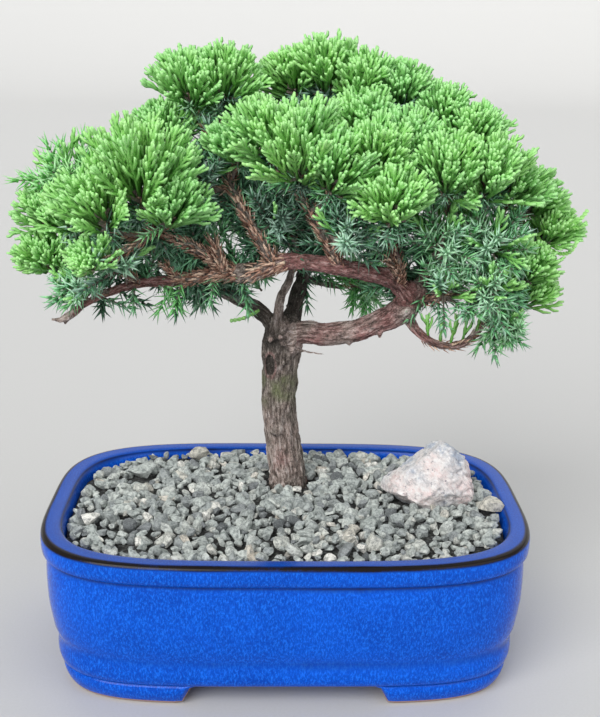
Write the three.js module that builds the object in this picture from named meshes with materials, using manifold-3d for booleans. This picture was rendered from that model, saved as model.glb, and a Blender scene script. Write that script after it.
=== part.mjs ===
import * as THREE from "three";
import { mergeVertices } from "three/addons/utils/BufferGeometryUtils.js";
import Module from "manifold-3d";

// Japanese garden juniper bonsai in a glazed oblong pot.
// Millimetres, +Z up, the pot's feet on z = 0, the front of the tree towards -Y.

const wasm = await Module();
wasm.setup();

// Fits
const fitGap = 0.3;
const wallClearance = 0.45;

// Pot: the outline is a superellipse, rounder at the rim than at the feet
const potHalfLength = 101.5;
const potHalfDepth = 68.2;
const potHeight = 65;
const rimWidth = 8;
const lipBottom = 62.9;
const rimRoundness = 3.85;
const footRoundness = 4.7;
const potSides = 32;
const footHeight = 7;
const footInset = 9;
const footWidth = 15;
const frontFootGap = [41, 35];
const sideFootGap = [20, 15];
const floorTop = 13;
const drainHoleRadius = 7;
const drainHoleOffset = 42;
const drainHoleSides = 12;

// Drain screens
const screenSize = 26;
const screenThickness = 1;
const screenMesh = 2;
const screenBar = 2;

// Soil and gravel
const soilTop = 55;
const gravelEdgeHeight = 61.5;
const gravelMound = 4;
const stonePitch = 13;
const stoneRise = 1.9;
const stoneShift = 2.6;
const gravelLimit = 77;

// Trunk socket in the soil and the gravel
const trunkX = 1;
const trunkY = 20;
const trunkFoot = 30;
const trunkSocketRadius = 9.6;
const trunkSocketSides = 14;

// Wood
const trunkFluting = 0.09;
const limbFluting = 0.05;

// Rock that rests on the gravel
const rockCentre = new THREE.Vector3(61, 3, 74.5);
const rockHalfSize = new THREE.Vector3(20.5, 14.5, 15.5);
const rockSeatGrowth = 1.035;

// Foliage
const coreSides = 6;
const coreLength = 11.6;
const coreRadius = 2.9;
const stemRadius = 1.25;
const shootTipRadius = 1.0;
const pointedShare = 0.6;
const shootLift = { shoots: 0.12, needles: 0 };
const shootHalfWidth = { shoots: 1.2, needles: 0.8 };
const shortestShoot = 1.5;
const seatStep = 0.005;
const stemBends = [0.1, 0.3, 0.5, 0.7];
const firstSeed = 101;
const seedStep = 17;

// Colours
const glazeColour = 0x0d3fb8;
const screenColour = 0x24262a;
const soilColour = 0x3a2b20;
const gravelColour = 0x9aa39b;
const rockColour = 0xc9b7b0;
const barkColour = 0x6b5145;
const foliageColour = { shoots: 0x5fae3c, needles: 0x4f8f70 };

// A small repeatable random draw, from 0 to 1
function seededDraw(seed) {
  let state = seed >>> 0;
  return () => {
    state = (Math.imul(state, 1664525) + 1013904223) >>> 0;
    return state / 4294967296;
  };
}

function geometryOf(points, faces) {
  const positions = new Float32Array(points.flatMap((p) => [p.x, p.y, p.z]));
  const geometry = new THREE.BufferGeometry();
  geometry.setAttribute("position", new THREE.BufferAttribute(positions, 3));
  geometry.setIndex(faces.flat());
  return geometry;
}

function solidOf(geometry) {
  const bare = new THREE.BufferGeometry();
  bare.setAttribute("position", geometry.getAttribute("position"));
  bare.setIndex(geometry.getIndex());
  const merged = mergeVertices(bare, 1e-4);
  return new wasm.Manifold(
    new wasm.Mesh({
      numProp: 3,
      vertProperties: new Float32Array(merged.getAttribute("position").array),
      triVerts: new Uint32Array(merged.getIndex().array),
    }),
  );
}

function geometryOfSolid(solid) {
  const mesh = solid.getMesh();
  const geometry = new THREE.BufferGeometry();
  geometry.setAttribute("position", new THREE.BufferAttribute(mesh.vertProperties, 3));
  geometry.setIndex(new THREE.BufferAttribute(mesh.triVerts, 1));
  return geometry;
}

// A closed solid through a stack of rings of equal length, with a fan over each end
function ringStack(rings) {
  const points = rings.flat();
  const count = rings[0].length;
  const faces = [];
  for (let row = 0; row + 1 < rings.length; row += 1) {
    for (let i = 0; i < count; i += 1) {
      const j = (i + 1) % count;
      const low = row * count;
      const high = low + count;
      faces.push([low + i, low + j, high + j], [low + i, high + j, high + i]);
    }
  }
  const middleOf = (ring) =>
    ring.reduce((sum, p) => sum.add(p), new THREE.Vector3()).divideScalar(ring.length);
  const first = points.push(middleOf(rings[0])) - 1;
  const last = points.push(middleOf(rings[rings.length - 1])) - 1;
  const top = (rings.length - 1) * count;
  for (let i = 0; i < count; i += 1) {
    const j = (i + 1) % count;
    faces.push([first, j, i], [last, top + i, top + j]);
  }
  return geometryOf(points, faces);
}

function box(size, centre) {
  const geometry = new THREE.BoxGeometry(size.x, size.y, size.z);
  return solidOf(geometry.translate(centre.x, centre.y, centre.z));
}

function uprightCylinder(radius, bottom, top, x, y, sides) {
  const geometry = new THREE.CylinderGeometry(radius, radius, top - bottom, sides);
  geometry.rotateX(Math.PI / 2);
  return solidOf(geometry.translate(x, y, (bottom + top) / 2));
}

function meshOf(name, geometry, colour, roughness) {
  const material = new THREE.MeshStandardMaterial({ color: colour, roughness, metalness: 0 });
  const mesh = new THREE.Mesh(geometry, material);
  mesh.name = name;
  return mesh;
}

// Pot

// One ring of the pot's rounded oblong outline, moved in from the rim's edge by inset
function potRing(height, inset) {
  const blend = THREE.MathUtils.clamp(height / potHeight, 0, 1);
  const power = 2 / THREE.MathUtils.lerp(footRoundness, rimRoundness, blend);
  const ring = [];
  for (let i = 0; i < potSides; i += 1) {
    const angle = ((i + 0.5) / potSides) * 2 * Math.PI;
    const c = Math.cos(angle);
    const s = Math.sin(angle);
    const x = (potHalfLength - inset) * Math.sign(c) * Math.abs(c) ** power;
    const y = (potHalfDepth - inset) * Math.sign(s) * Math.abs(s) ** power;
    ring.push(new THREE.Vector3(x, y, height));
  }
  return ring;
}

// Height and inset along the outside wall, from the underside up to the lip
const outsideProfile = [
  [footHeight, 12],
  [10, 7.6],
  [16, 6.1],
  [22, 5.4],
  [25, 4.2],
  [37, 2.4],
  [55, 2.4],
  [56.5, 0.5],
  [potHeight - 1, 0],
  [potHeight, 0.9],
];

// Height and inset along the inside wall, from the rim down to the floor
const insideProfile = [
  [potHeight, rimWidth],
  [63, 9.2],
  [24, 12.8],
  [floorTop, 22],
];

// A gap between two feet: wider at the ground than at the pot's underside
function footGap(groundHalfWidth, topHalfWidth, length) {
  const shape = new THREE.Shape();
  shape.moveTo(-groundHalfWidth, -1);
  shape.lineTo(groundHalfWidth, -1);
  shape.lineTo(groundHalfWidth, 0);
  shape.lineTo(topHalfWidth, footHeight);
  shape.lineTo(topHalfWidth, footHeight + 4);
  shape.lineTo(-topHalfWidth, footHeight + 4);
  shape.lineTo(-topHalfWidth, footHeight);
  shape.lineTo(-groundHalfWidth, 0);
  const geometry = new THREE.ExtrudeGeometry(shape, { depth: length, bevelEnabled: false });
  return geometry.rotateX(Math.PI / 2).translate(0, length / 2, 0);
}

function makePot() {
  const profile = [...outsideProfile, ...insideProfile];
  const body = solidOf(ringStack(profile.map(([height, inset]) => potRing(height, inset))));
  const footBelt = solidOf(
    ringStack([
      potRing(0, footInset + 1.4),
      potRing(4, footInset - 0.6),
      potRing(footHeight + 2.5, footInset - 0.2),
    ]),
  );
  const footBeltInside = solidOf(
    ringStack([potRing(-1, footInset + footWidth), potRing(footHeight + 3, footInset + footWidth)]),
  );
  const frontGap = solidOf(footGap(...frontFootGap, 2.2 * potHalfDepth));
  const sideGap = solidOf(footGap(...sideFootGap, 2.2 * potHalfLength).rotateZ(Math.PI / 2));
  const feet = footBelt.subtract(footBeltInside).subtract(frontGap).subtract(sideGap);
  let pot = body.add(feet);
  for (const side of [-1, 1]) {
    const x = side * drainHoleOffset;
    pot = pot.subtract(uprightCylinder(drainHoleRadius, 1, floorTop + 5, x, 0, drainHoleSides));
  }
  return meshOf("pot", geometryOfSolid(pot), glazeColour, 0.18);
}

function makeDrainScreen(name, x) {
  const half = screenSize / 2;
  const pitch = (screenSize - screenBar) / screenMesh;
  const opening = new THREE.Vector3(pitch - screenBar, pitch - screenBar, 3 * screenThickness);
  const size = new THREE.Vector3(screenSize, screenSize, screenThickness);
  let net = box(size, new THREE.Vector3(0, 0, screenThickness / 2));
  for (let i = 0; i < screenMesh; i += 1) {
    for (let j = 0; j < screenMesh; j += 1) {
      const first = -half + (screenBar + pitch) / 2;
      net = net.subtract(box(opening, new THREE.Vector3(first + i * pitch, first + j * pitch, 0)));
    }
  }
  const screen = meshOf(name, geometryOfSolid(net), screenColour, 0.6);
  screen.position.set(x, 0, floorTop + fitGap);
  return screen;
}

// Soil and gravel

// The inside of the pot between two heights, kept clear of the wall
function potFilling(bottom, top) {
  const rows = insideProfile
    .slice(1)
    .reverse()
    .map(([height, inset]) => [height + fitGap, inset + wallClearance])
    .filter(([height]) => height > bottom && height < top);
  const insetAt = (height) => {
    const profile = [...insideProfile].reverse();
    const k = profile.findIndex((row) => row[0] > height);
    if (k < 1) return (k === 0 ? profile[0] : profile[profile.length - 2])[1] + wallClearance;
    const share = (height - profile[k - 1][0]) / (profile[k][0] - profile[k - 1][0]);
    return THREE.MathUtils.lerp(profile[k - 1][1], profile[k][1], share) + wallClearance;
  };
  const first = [bottom, insetAt(bottom) + wallClearance];
  const last = [top, insetAt(Math.min(top, lipBottom))];
  return solidOf(ringStack([first, ...rows, last].map(([height, inset]) => potRing(height, inset))));
}

function trunkSocket(bottom, top) {
  return uprightCylinder(trunkSocketRadius, bottom, top, trunkX, trunkY, trunkSocketSides);
}

function makeSoil() {
  let soil = potFilling(floorTop + fitGap, soilTop);
  const recess = screenSize + 2 * fitGap;
  const recessTop = floorTop + screenThickness + 2 * fitGap;
  for (const side of [-1, 1]) {
    const size = new THREE.Vector3(recess, recess, 2 * (recessTop - floorTop));
    soil = soil.subtract(box(size, new THREE.Vector3(side * drainHoleOffset, 0, floorTop)));
  }
  soil = soil.subtract(trunkSocket(trunkFoot - fitGap, soilTop + 5));
  return meshOf("soil", geometryOfSolid(soil), soilColour, 0.95);
}

// Height of the gravel between its stones: a low mound, highest behind the middle
function gravelHeight(x, y) {
  const across = (x / potHalfLength) ** 2;
  const along = ((y - 14) / potHalfDepth) ** 2;
  return gravelEdgeHeight + gravelMound * Math.max(0, 1 - across - 0.9 * along);
}

// Every stone is a tilted facet that stands out of the six low points around it
function gravelRelief() {
  const draw = seededDraw(7);
  const columns = Math.ceil((2 * potHalfLength) / stonePitch) + 1;
  const rowPitch = stonePitch * Math.sqrt(0.75);
  const rows = Math.ceil((2 * potHalfDepth) / rowPitch) + 1;
  const reach = stonePitch / Math.sqrt(3);
  const points = [];
  const faces = [];
  const lowPoints = new Map();
  const lowPoint = (x, y) => {
    const key = `${Math.round(x * 20)},${Math.round(y * 20)}`;
    if (!lowPoints.has(key)) {
      const px = x + (draw() - 0.5) * stoneShift;
      const py = y + (draw() - 0.5) * stoneShift;
      const height = gravelHeight(px, py) - 0.9 - 0.8 * draw();
      lowPoints.set(key, points.push(new THREE.Vector3(px, py, height)) - 1);
    }
    return lowPoints.get(key);
  };
  for (let row = 0; row < rows; row += 1) {
    for (let column = 0; column < columns; column += 1) {
      const x = (column - (columns - 1) / 2 + (row % 2) / 2) * stonePitch;
      const y = (row - (rows - 1) / 2) * rowPitch;
      const low = [];
      for (let k = 0; k < 6; k += 1) {
        const angle = (k / 6) * 2 * Math.PI + Math.PI / 6;
        low.push(lowPoint(x + reach * Math.cos(angle), y + reach * Math.sin(angle)));
      }
      const top = [];
      const turn = (draw() - 0.5) * 0.7;
      for (let k = 0; k < 3; k += 1) {
        const angle = (k / 3) * 2 * Math.PI + Math.PI / 3 + turn;
        const out = 2.3 + 0.9 * draw();
        const px = x + out * Math.cos(angle);
        const py = y + out * Math.sin(angle);
        const height = gravelHeight(px, py) + stoneRise * (0.35 + 0.9 * draw());
        top.push(points.push(new THREE.Vector3(px, py, height)) - 1);
      }
      for (let k = 0; k < 3; k += 1) {
        const after = (k + 1) % 3;
        faces.push([low[2 * k], low[2 * k + 1], top[k]]);
        faces.push([low[2 * k + 1], top[after], top[k]]);
        faces.push([low[2 * k + 1], low[(2 * k + 2) % 6], top[after]]);
      }
      faces.push([top[0], top[1], top[2]]);
    }
  }
  return closeDownwards(points, faces, soilTop - 5);
}

// Closes an open relief with a skirt and a flat underside
function closeDownwards(points, faces, bottom) {
  const count = points.length;
  const open = new Map();
  for (const face of faces) {
    for (let k = 0; k < 3; k += 1) {
      const edge = [face[k], face[(k + 1) % 3]];
      open.set(edge.join(), edge);
    }
  }
  const border = [...open.values()].filter(([a, b]) => !open.has(`${b},${a}`));
  const below = points.map((p) => new THREE.Vector3(p.x, p.y, bottom));
  const under = faces.map(([a, b, c]) => [count + a, count + c, count + b]);
  const skirt = border.flatMap(([a, b]) => [
    [b, a, count + a],
    [b, count + a, count + b],
  ]);
  return geometryOf([...points, ...below], [...faces, ...under, ...skirt]);
}

function makeGravel() {
  const bed = solidOf(gravelRelief()).intersect(potFilling(soilTop + fitGap, gravelLimit));
  const seat = solidOf(rockGeometry(rockSeatGrowth));
  const gravel = bed.subtract(trunkSocket(soilTop - 5, gravelLimit)).subtract(seat);
  const whole = gravel.decompose().sort((a, b) => b.volume() - a.volume())[0];
  return meshOf("gravel", geometryOfSolid(whole), gravelColour, 0.9);
}

// Rock

// A ball cut flat by a dozen planes, each given by its direction and its distance from the middle
function rockGeometry(growth) {
  const cuts = [
    [0, 0, -1, 0.72],
    [-0.75, -0.35, 0.55, 0.74],
    [-0.25, -0.8, 0.55, 0.7],
    [0.35, -0.85, 0.35, 0.78],
    [0.8, -0.3, 0.5, 0.8],
    [0.15, 0.1, 1, 0.9],
    [0.6, 0.5, 0.6, 0.76],
    [-0.55, 0.65, 0.5, 0.72],
    [0.95, 0.1, -0.3, 0.9],
    [-0.8, 0.2, -0.55, 0.82],
    [0.1, 0.95, -0.2, 0.8],
    [-0.5, -0.75, -0.3, 0.82],
  ];
  const ball = mergeVertices(bareSphere(2), 1e-4);
  const position = ball.getAttribute("position");
  const draw = seededDraw(31);
  for (let i = 0; i < position.count; i += 1) {
    const p = new THREE.Vector3().fromBufferAttribute(position, i);
    for (const [x, y, z, distance] of cuts) {
      const normal = new THREE.Vector3(x, y, z).normalize();
      const over = p.dot(normal) - distance;
      if (over > 0) p.addScaledVector(normal, -0.93 * over);
    }
    p.multiplyScalar(growth * (1 + 0.05 * (draw() - 0.5)));
    p.multiply(rockHalfSize);
    p.add(rockCentre);
    position.setXYZ(i, p.x, p.y, p.z);
  }
  return ball;
}

function bareSphere(detail) {
  const sphere = new THREE.IcosahedronGeometry(1.12, detail);
  sphere.deleteAttribute("normal");
  sphere.deleteAttribute("uv");
  return sphere;
}

function makeRock() {
  return meshOf("rock", rockGeometry(1), rockColour, 0.85);
}

// Wood: routes of the trunk and the branches, each point as x, y, z and radius
const limbs = {
  trunk: {
    sides: 9,
    steps: 10,
    route: [
      [1, 20, trunkFoot, 6.4],
      [1, 20, 44, 7.4],
      [1, 20, 59, 8.6],
      [1, 20, 68, 8.1],
      [-1, 20, 82, 7.4],
      [-3, 20, 98, 7.2],
      [-3, 20, 114, 7.7],
      [-2, 20, 128, 8.7],
      [-1, 20, 137, 7.6],
      [-1, 21, 142, 4.4],
    ],
  },
  rightLimb: {
    sides: 7,
    steps: 8,
    route: [
      [-1, 20, 131, 5.0],
      [8, 15, 135, 5.1],
      [18, 9, 136, 4.7],
      [29, 4, 139, 4.8],
      [38, 0, 144, 5.0],
      [46, -2, 149, 5.4],
      [52, -2, 155, 5.2],
      [55, -1, 160, 3.0],
    ],
  },
  crossBranch: {
    sides: 6,
    steps: 17,
    route: [
      [51, -2, 153, 4.4],
      [46, -5, 160, 3.9],
      [39, -9, 165, 3.6],
      [29, -12, 168, 3.4],
      [20, -14, 170, 3.3],
      [9, -15, 172, 3.2],
      [0, -14, 172, 3.2],
      [-9, -12, 169, 3.3],
      [-17, -10, 166, 3.4],
      [-27, -8, 166, 3.2],
      [-36, -7, 164, 2.8],
      [-47, -6, 162, 2.3],
      [-60, -6, 161, 2.1],
      [-72, -5, 157, 1.9],
      [-82, -4, 152, 1.6],
      [-89, -3, 147, 1.3],
    ],
  },
  leftLimb: {
    sides: 6,
    steps: 8,
    route: [
      [-3, 20, 134, 3.6],
      [-13, 21, 144, 3.3],
      [-20, 20, 148, 2.9],
      [-27, 18, 152, 2.6],
      [-34, 15, 156, 2.4],
      [-44, 14, 163, 2.2],
      [-57, 16, 170, 2.0],
      [-70, 18, 175, 1.7],
    ],
  },
  leader: {
    sides: 6,
    steps: 8,
    route: [
      [1, 22, 134, 4.4],
      [4, 26, 147, 3.3],
      [7, 29, 157, 2.9],
      [9, 31, 169, 2.8],
      [12, 32, 185, 2.6],
      [14, 31, 202, 2.3],
      [14, 28, 218, 1.8],
    ],
  },
  thinStem: {
    sides: 5,
    steps: 4,
    route: [
      [-4, 17, 136, 2.6],
      [-3, 13, 150, 2.0],
      [1, 9, 160, 1.8],
      [3, 4, 172, 1.5],
      [2, -1, 180, 1.3],
    ],
  },
  backLow: {
    sides: 4,
    steps: 2,
    route: [
      [7, 29, 156, 2.0],
      [15, 37, 152, 1.7],
      [24, 43, 149, 1.4],
    ],
  },
  rightRise: {
    sides: 6,
    steps: 6,
    route: [
      [51, -2, 153, 4.0],
      [56, 2, 161, 3.4],
      [63, 5, 169, 2.9],
      [72, 7, 176, 2.5],
      [83, 7, 181, 2.1],
      [92, 5, 182, 1.7],
    ],
  },
  rightTwig: {
    sides: 5,
    steps: 3,
    route: [
      [50, -2, 153, 2.6],
      [58, -5, 155, 1.8],
      [65, -8, 157, 1.4],
    ],
  },
  droopTwig: {
    sides: 5,
    steps: 6,
    route: [
      [48, -2, 150, 3.0],
      [53, -5, 142, 2.0],
      [60, -7, 137, 1.7],
      [68, -8, 136, 1.6],
      [75, -8, 139, 1.5],
      [80, -7, 145, 1.4],
    ],
  },
  leftRise: {
    sides: 5,
    steps: 4,
    route: [
      [-21, -9, 166, 2.6],
      [-31, -12, 173, 2.2],
      [-38, -16, 178, 2.0],
      [-45, -19, 182, 1.7],
      [-52, -21, 185, 1.5],
    ],
  },
  midRise: {
    sides: 5,
    steps: 5,
    route: [
      [-5, -13, 170, 2.6],
      [-11, -13, 180, 2.2],
      [-17, -11, 190, 2.0],
      [-22, -7, 199, 1.8],
      [-27, -2, 210, 1.6],
      [-31, 3, 219, 1.4],
    ],
  },
  frontRise: {
    sides: 5,
    steps: 4,
    route: [
      [21, -14, 169, 2.6],
      [16, -16, 179, 2.1],
      [11, -17, 188, 1.8],
      [7, -17, 195, 1.5],
    ],
  },
  rightFront: {
    sides: 5,
    steps: 4,
    route: [
      [44, -6, 161, 2.8],
      [44, -10, 169, 2.2],
      [42, -14, 177, 1.9],
      [40, -17, 183, 1.6],
    ],
  },
  leaderLeft: {
    sides: 5,
    steps: 4,
    route: [
      [13, 31, 190, 2.0],
      [3, 32, 199, 1.8],
      [-10, 29, 206, 1.7],
      [-24, 22, 211, 1.5],
    ],
  },
  leaderRight: {
    sides: 5,
    steps: 5,
    route: [
      [13, 31, 194, 2.1],
      [25, 28, 202, 1.9],
      [38, 22, 209, 1.7],
      [51, 15, 212, 1.6],
      [64, 10, 211, 1.4],
    ],
  },
  backLeft: {
    sides: 5,
    steps: 4,
    route: [
      [11, 31, 178, 2.1],
      [-2, 41, 182, 1.8],
      [-20, 46, 185, 1.6],
      [-38, 46, 186, 1.4],
    ],
  },
  backRight: {
    sides: 5,
    steps: 5,
    route: [
      [12, 31, 182, 2.1],
      [26, 41, 184, 1.8],
      [44, 45, 185, 1.6],
      [62, 45, 185, 1.5],
      [76, 43, 185, 1.3],
    ],
  },
};

// Sprays: kind, foot, far tip, and the limb that carries the twig
const sprays = {
  leftFanHigh: ["shoots", [-57, -23, 192], [-52, -36, 229], "leftRise"],
  leftFanLow: ["shoots", [-68, -26, 186], [-78, -35, 212], "leftRise"],
  leftFanInner: ["shoots", [-48, -27, 187], [-35, -38, 206], "leftRise"],
  leftFanSkirt: ["shoots", [-70, -30, 175], [-84, -38, 171], "leftRise"],
  leftMid: ["shoots", [-83, -8, 182], [-94, -14, 201], "leftLimb"],
  leftShoulder: ["needles", [-86, 9, 195], [-100, 3, 220], "leftLimb"],
  leftTip: ["shoots", [-92, 7, 180], [-111, 3, 193], "leftLimb"],
  leftLow: ["shoots", [-92, 4, 164], [-112, -2, 174], "crossBranch"],
  leftUnder: ["needles", [-78, -11, 159], [-97, -18, 157], "crossBranch"],
  leftUnderFront: ["needles", [-64, -15, 167], [-80, -30, 177], "crossBranch"],
  domeLeft: ["shoots", [-38, 4, 229], [-44, -2, 254], "midRise"],
  domeRight: ["shoots", [-27, 6, 230], [-23, 2, 256], "midRise"],
  shoulderLeft: ["shoots", [-47, 6, 213], [-59, 2, 231], "midRise"],
  midNeedles: ["needles", [-33, -11, 200], [-37, -28, 216], "midRise"],
  midTufts: ["shoots", [-21, -12, 209], [-20, -24, 226], "midRise"],
  centreFanLeft: ["shoots", [-6, -19, 211], [-12, -29, 236], "frontRise"],
  centreFanMid: ["shoots", [4, -23, 204], [2, -37, 236], "frontRise"],
  centreFanRight: ["shoots", [15, -26, 200], [18, -41, 225], "frontRise"],
  crownLeft: ["shoots", [4, 18, 233], [-4, 14, 254], "leader"],
  crownTop: ["shoots", [15, 13, 234], [15, 8, 260], "leader"],
  crownRight: ["shoots", [27, 8, 230], [33, 3, 254], "leader"],
  frontHigh: ["shoots", [30, -4, 217], [26, -15, 238], "leaderRight"],
  frontRight: ["shoots", [33, -21, 205], [31, -34, 229], "rightFront"],
  frontRightHigh: ["shoots", [45, -13, 210], [45, -24, 231], "rightFront"],
  frontFan: ["shoots", [39, -31, 190], [37, -49, 210], "rightFront"],
  shoulderRight: ["shoots", [44, 9, 229], [45, 4, 250], "leaderRight"],
  rightHigh: ["shoots", [59, 5, 221], [64, -2, 241], "leaderRight"],
  rightFanBack: ["shoots", [70, -2, 212], [75, -11, 234], "rightRise"],
  rightFanLeft: ["shoots", [61, -20, 199], [57, -36, 223], "rightRise"],
  rightFanMid: ["shoots", [75, -18, 198], [78, -33, 222], "rightRise"],
  rightFanRight: ["shoots", [86, -6, 195], [92, -14, 217], "rightRise"],
  rightEdge: ["shoots", [96, 4, 188], [106, -1, 206], "rightRise"],
  rightTip: ["shoots", [103, 8, 176], [121, 4, 189], "rightRise"],
  lowRightHigh: ["shoots", [94, -7, 163], [107, -12, 177], "rightRise"],
  lowRightTip: ["shoots", [94, 1, 152], [113, 0, 160], "droopTwig"],
  rightNeedles: ["needles", [61, -15, 177], [52, -38, 193], "rightRise"],
  rightNeedlesMid: ["needles", [80, -12, 177], [78, -36, 189], "rightRise"],
  rightNeedlesLow: ["needles", [78, -14, 160], [86, -35, 167], "rightTwig"],
  rightUnder: ["needles", [62, -16, 159], [57, -37, 168], "rightTwig"],
  droopTuft: ["needles", [84, -10, 146], [97, -18, 142], "droopTwig"],
  frontUnder: ["needles", [21, -23, 181], [18, -44, 193], "frontRise"],
  innerDark: ["needles", [-4, -6, 184], [-11, -30, 196], "thinStem"],
  backEdgeLeft: ["shoots", [-83, 30, 180], [-99, 42, 195], "leftLimb"],
  backLeftMid: ["shoots", [-55, 46, 191], [-66, 62, 211], "backLeft"],
  backLeftHigh: ["shoots", [-29, 37, 217], [-39, 49, 239], "leaderLeft"],
  backLeftLow: ["needles", [-33, 59, 179], [-40, 84, 181], "backLeft"],
  backMid: ["shoots", [-8, 57, 200], [-12, 76, 223], "backLeft"],
  backCrown: ["shoots", [5, 42, 225], [3, 53, 249], "leader"],
  backMidRight: ["shoots", [26, 58, 197], [28, 81, 215], "backRight"],
  backRightHigh: ["shoots", [38, 38, 221], [44, 52, 242], "leaderRight"],
  backRightMid: ["shoots", [62, 52, 196], [70, 71, 215], "backRight"],
  backFarRight: ["shoots", [87, 40, 191], [103, 53, 202], "backRight"],
  backTuft: ["needles", [30, 47, 149], [50, 55, 153], "backLow"],
};

const vector = ([x, y, z]) => new THREE.Vector3(x, y, z);

// The middle line of a limb: points with the local direction frame and radius
function spineOf(route, steps) {
  const curve = new THREE.CatmullRomCurve3(route.map(vector));
  const frames = curve.computeFrenetFrames(steps, false);
  const spine = [];
  for (let step = 0; step <= steps; step += 1) {
    const along = step / steps;
    const place = curve.getUtoTmapping(along) * (route.length - 1);
    const before = Math.min(Math.floor(place), route.length - 2);
    const radius = THREE.MathUtils.lerp(route[before][3], route[before + 1][3], place - before);
    const point = curve.getPointAt(along);
    spine.push({ point, radius, normal: frames.normals[step], binormal: frames.binormals[step] });
  }
  return spine;
}

// A tapered limb with shallow flutes, closed at both ends
function limbGeometry(spine, sides, fluting) {
  const rings = spine.map(({ point, radius, normal, binormal }, step) => {
    const along = step / (spine.length - 1);
    const ring = [];
    for (let i = 0; i < sides; i += 1) {
      const angle = (i / sides) * 2 * Math.PI;
      const flute = 1 + fluting * Math.sin(3 * angle + 2.2 * along) * Math.sin(9 * along + angle);
      const p = point.clone();
      p.addScaledVector(normal, radius * flute * Math.cos(angle));
      p.addScaledVector(binormal, radius * flute * Math.sin(angle));
      ring.push(p);
    }
    return ring;
  });
  return ringStack(rings);
}

// Everything that a shoot or a stem has to pass, as round segments: limbs, and stems and cores
const limbParts = [];
const sprayParts = [];

function addParts(parts, spine, owner) {
  for (let k = 0; k + 1 < spine.length; k += 1) {
    const radius = (1 + limbFluting) * Math.max(spine[k].radius, spine[k + 1].radius);
    parts.push({ from: spine[k].point, to: spine[k + 1].point, radius, owner });
  }
}

function distanceToSegment(point, { from, to }) {
  const line = new THREE.Line3(from, to);
  return line.closestPointToPoint(point, true, new THREE.Vector3()).distanceTo(point);
}

function isClearOf(parts, point, halfWidth, owner) {
  return parts.every(
    (part) => part.owner === owner || distanceToSegment(point, part) > part.radius + halfWidth + fitGap,
  );
}

function isClear(point, halfWidth, owner) {
  return isClearOf(limbParts, point, halfWidth) && isClearOf(sprayParts, point, halfWidth, owner);
}

function makeWood() {
  let wood = null;
  for (const [name, limb] of Object.entries(limbs)) {
    limb.spine = spineOf(limb.route, limb.steps);
    addParts(limbParts, limb.spine, name);
    const fluting = name === "trunk" ? trunkFluting : limbFluting;
    const solid = solidOf(limbGeometry(limb.spine, limb.sides, fluting));
    wood = wood ? wood.add(solid) : solid;
  }
  return meshOf("tree_wood", geometryOfSolid(wood), barkColour, 0.9);
}

// Foliage

// A node's name from the spray's: leftFanLow stands as spray_left_fan_low
function nodeName(name) {
  return `spray_${name.replace(/[A-Z]/g, (letter) => `_${letter.toLowerCase()}`)}`;
}

function placeOf(name) {
  const foot = vector(sprays[name][1]);
  const tip = vector(sprays[name][2]);
  const heading = tip.clone().sub(foot).normalize();
  const side = new THREE.Vector3().crossVectors(heading, new THREE.Vector3(0.3, 0.2, 1)).normalize();
  return { foot, tip, heading, side };
}

// The corners of a stem's three-sided section at one point of its route, turned like its spray
function stemSection(middle, heading, spraySide) {
  const side = spraySide.clone().addScaledVector(heading, -spraySide.dot(heading)).normalize();
  const other = new THREE.Vector3().crossVectors(heading, side);
  return [0, 1, 2].map((k) => {
    const angle = (k / 3) * 2 * Math.PI;
    const corner = middle.clone().addScaledVector(side, stemRadius * Math.cos(angle));
    return corner.addScaledVector(other, stemRadius * Math.sin(angle));
  });
}

function trianglesOf({ geometry }) {
  const position = geometry.getAttribute("position");
  const index = geometry.getIndex();
  const corner = (k) => new THREE.Vector3().fromBufferAttribute(position, index.getX(k));
  const triangles = [];
  for (let k = 0; k < index.count; k += 3) {
    triangles.push(new THREE.Triangle(corner(k), corner(k + 1), corner(k + 2)));
  }
  return triangles;
}

// Slides a stem's start back along its curve until it stands just clear of the real wood
function seatOf(curve, leave, wood, name) {
  const { side } = placeOf(name);
  const nearest = new THREE.Vector3();
  const isOffWood = (point) =>
    wood.every((face) => face.closestPointToPoint(point, nearest).distanceTo(point) > fitGap);
  for (let seat = leave; seat > seatStep; seat -= seatStep) {
    const place = seat - seatStep;
    const corners = stemSection(curve.getPoint(place), curve.getTangent(place), side);
    const edges = corners.map((corner, k) => corner.clone().lerp(corners[(k + 1) % 3], 0.5));
    const section = [...corners, ...edges];
    if (!section.every((point) => isClearOf(sprayParts, point, 0, name))) return null;
    if (!section.every(isOffWood)) return seat;
  }
  return null;
}

// The shortest bend from the limb to the spray's foot that passes clear of everything else
function stemCurve(name, wood) {
  const { foot, heading, side } = placeOf(name);
  const limb = limbs[sprays[name][3]];
  const points = limb.spine.map((place) => place.point);
  let best = null;
  for (let place = 0.5; place <= points.length - 1; place += 0.25) {
    const k = Math.min(Math.floor(place), points.length - 2);
    const start = points[k].clone().lerp(points[k + 1], place - k);
    for (const share of stemBends) {
      const bend = foot.clone().addScaledVector(heading, -share * start.distanceTo(foot));
      const curve = new THREE.QuadraticBezierCurve3(start, bend, foot);
      const length = curve.getLength();
      if (best && best.length <= length) continue;
      let leave = 0;
      const clearOfWood = (u) =>
        stemSection(curve.getPoint(u), curve.getTangent(u), side).every((corner) =>
          isClear(corner, 0, name),
        );
      while (leave < 0.9 && !clearOfWood(leave)) leave += 0.01;
      const steps = Math.ceil(length);
      let clear = leave < 0.9;
      for (let step = 1; clear && step < steps; step += 1) {
        const u = THREE.MathUtils.lerp(leave, 1, step / steps);
        clear = clearOfWood(u) && (step < 3 || isClear(curve.getPoint(u), 0.5 * stemRadius, name));
      }
      const seat = clear ? seatOf(curve, leave, wood, name) : null;
      if (seat) best = { length, curve, seat };
    }
  }
  return best;
}

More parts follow.
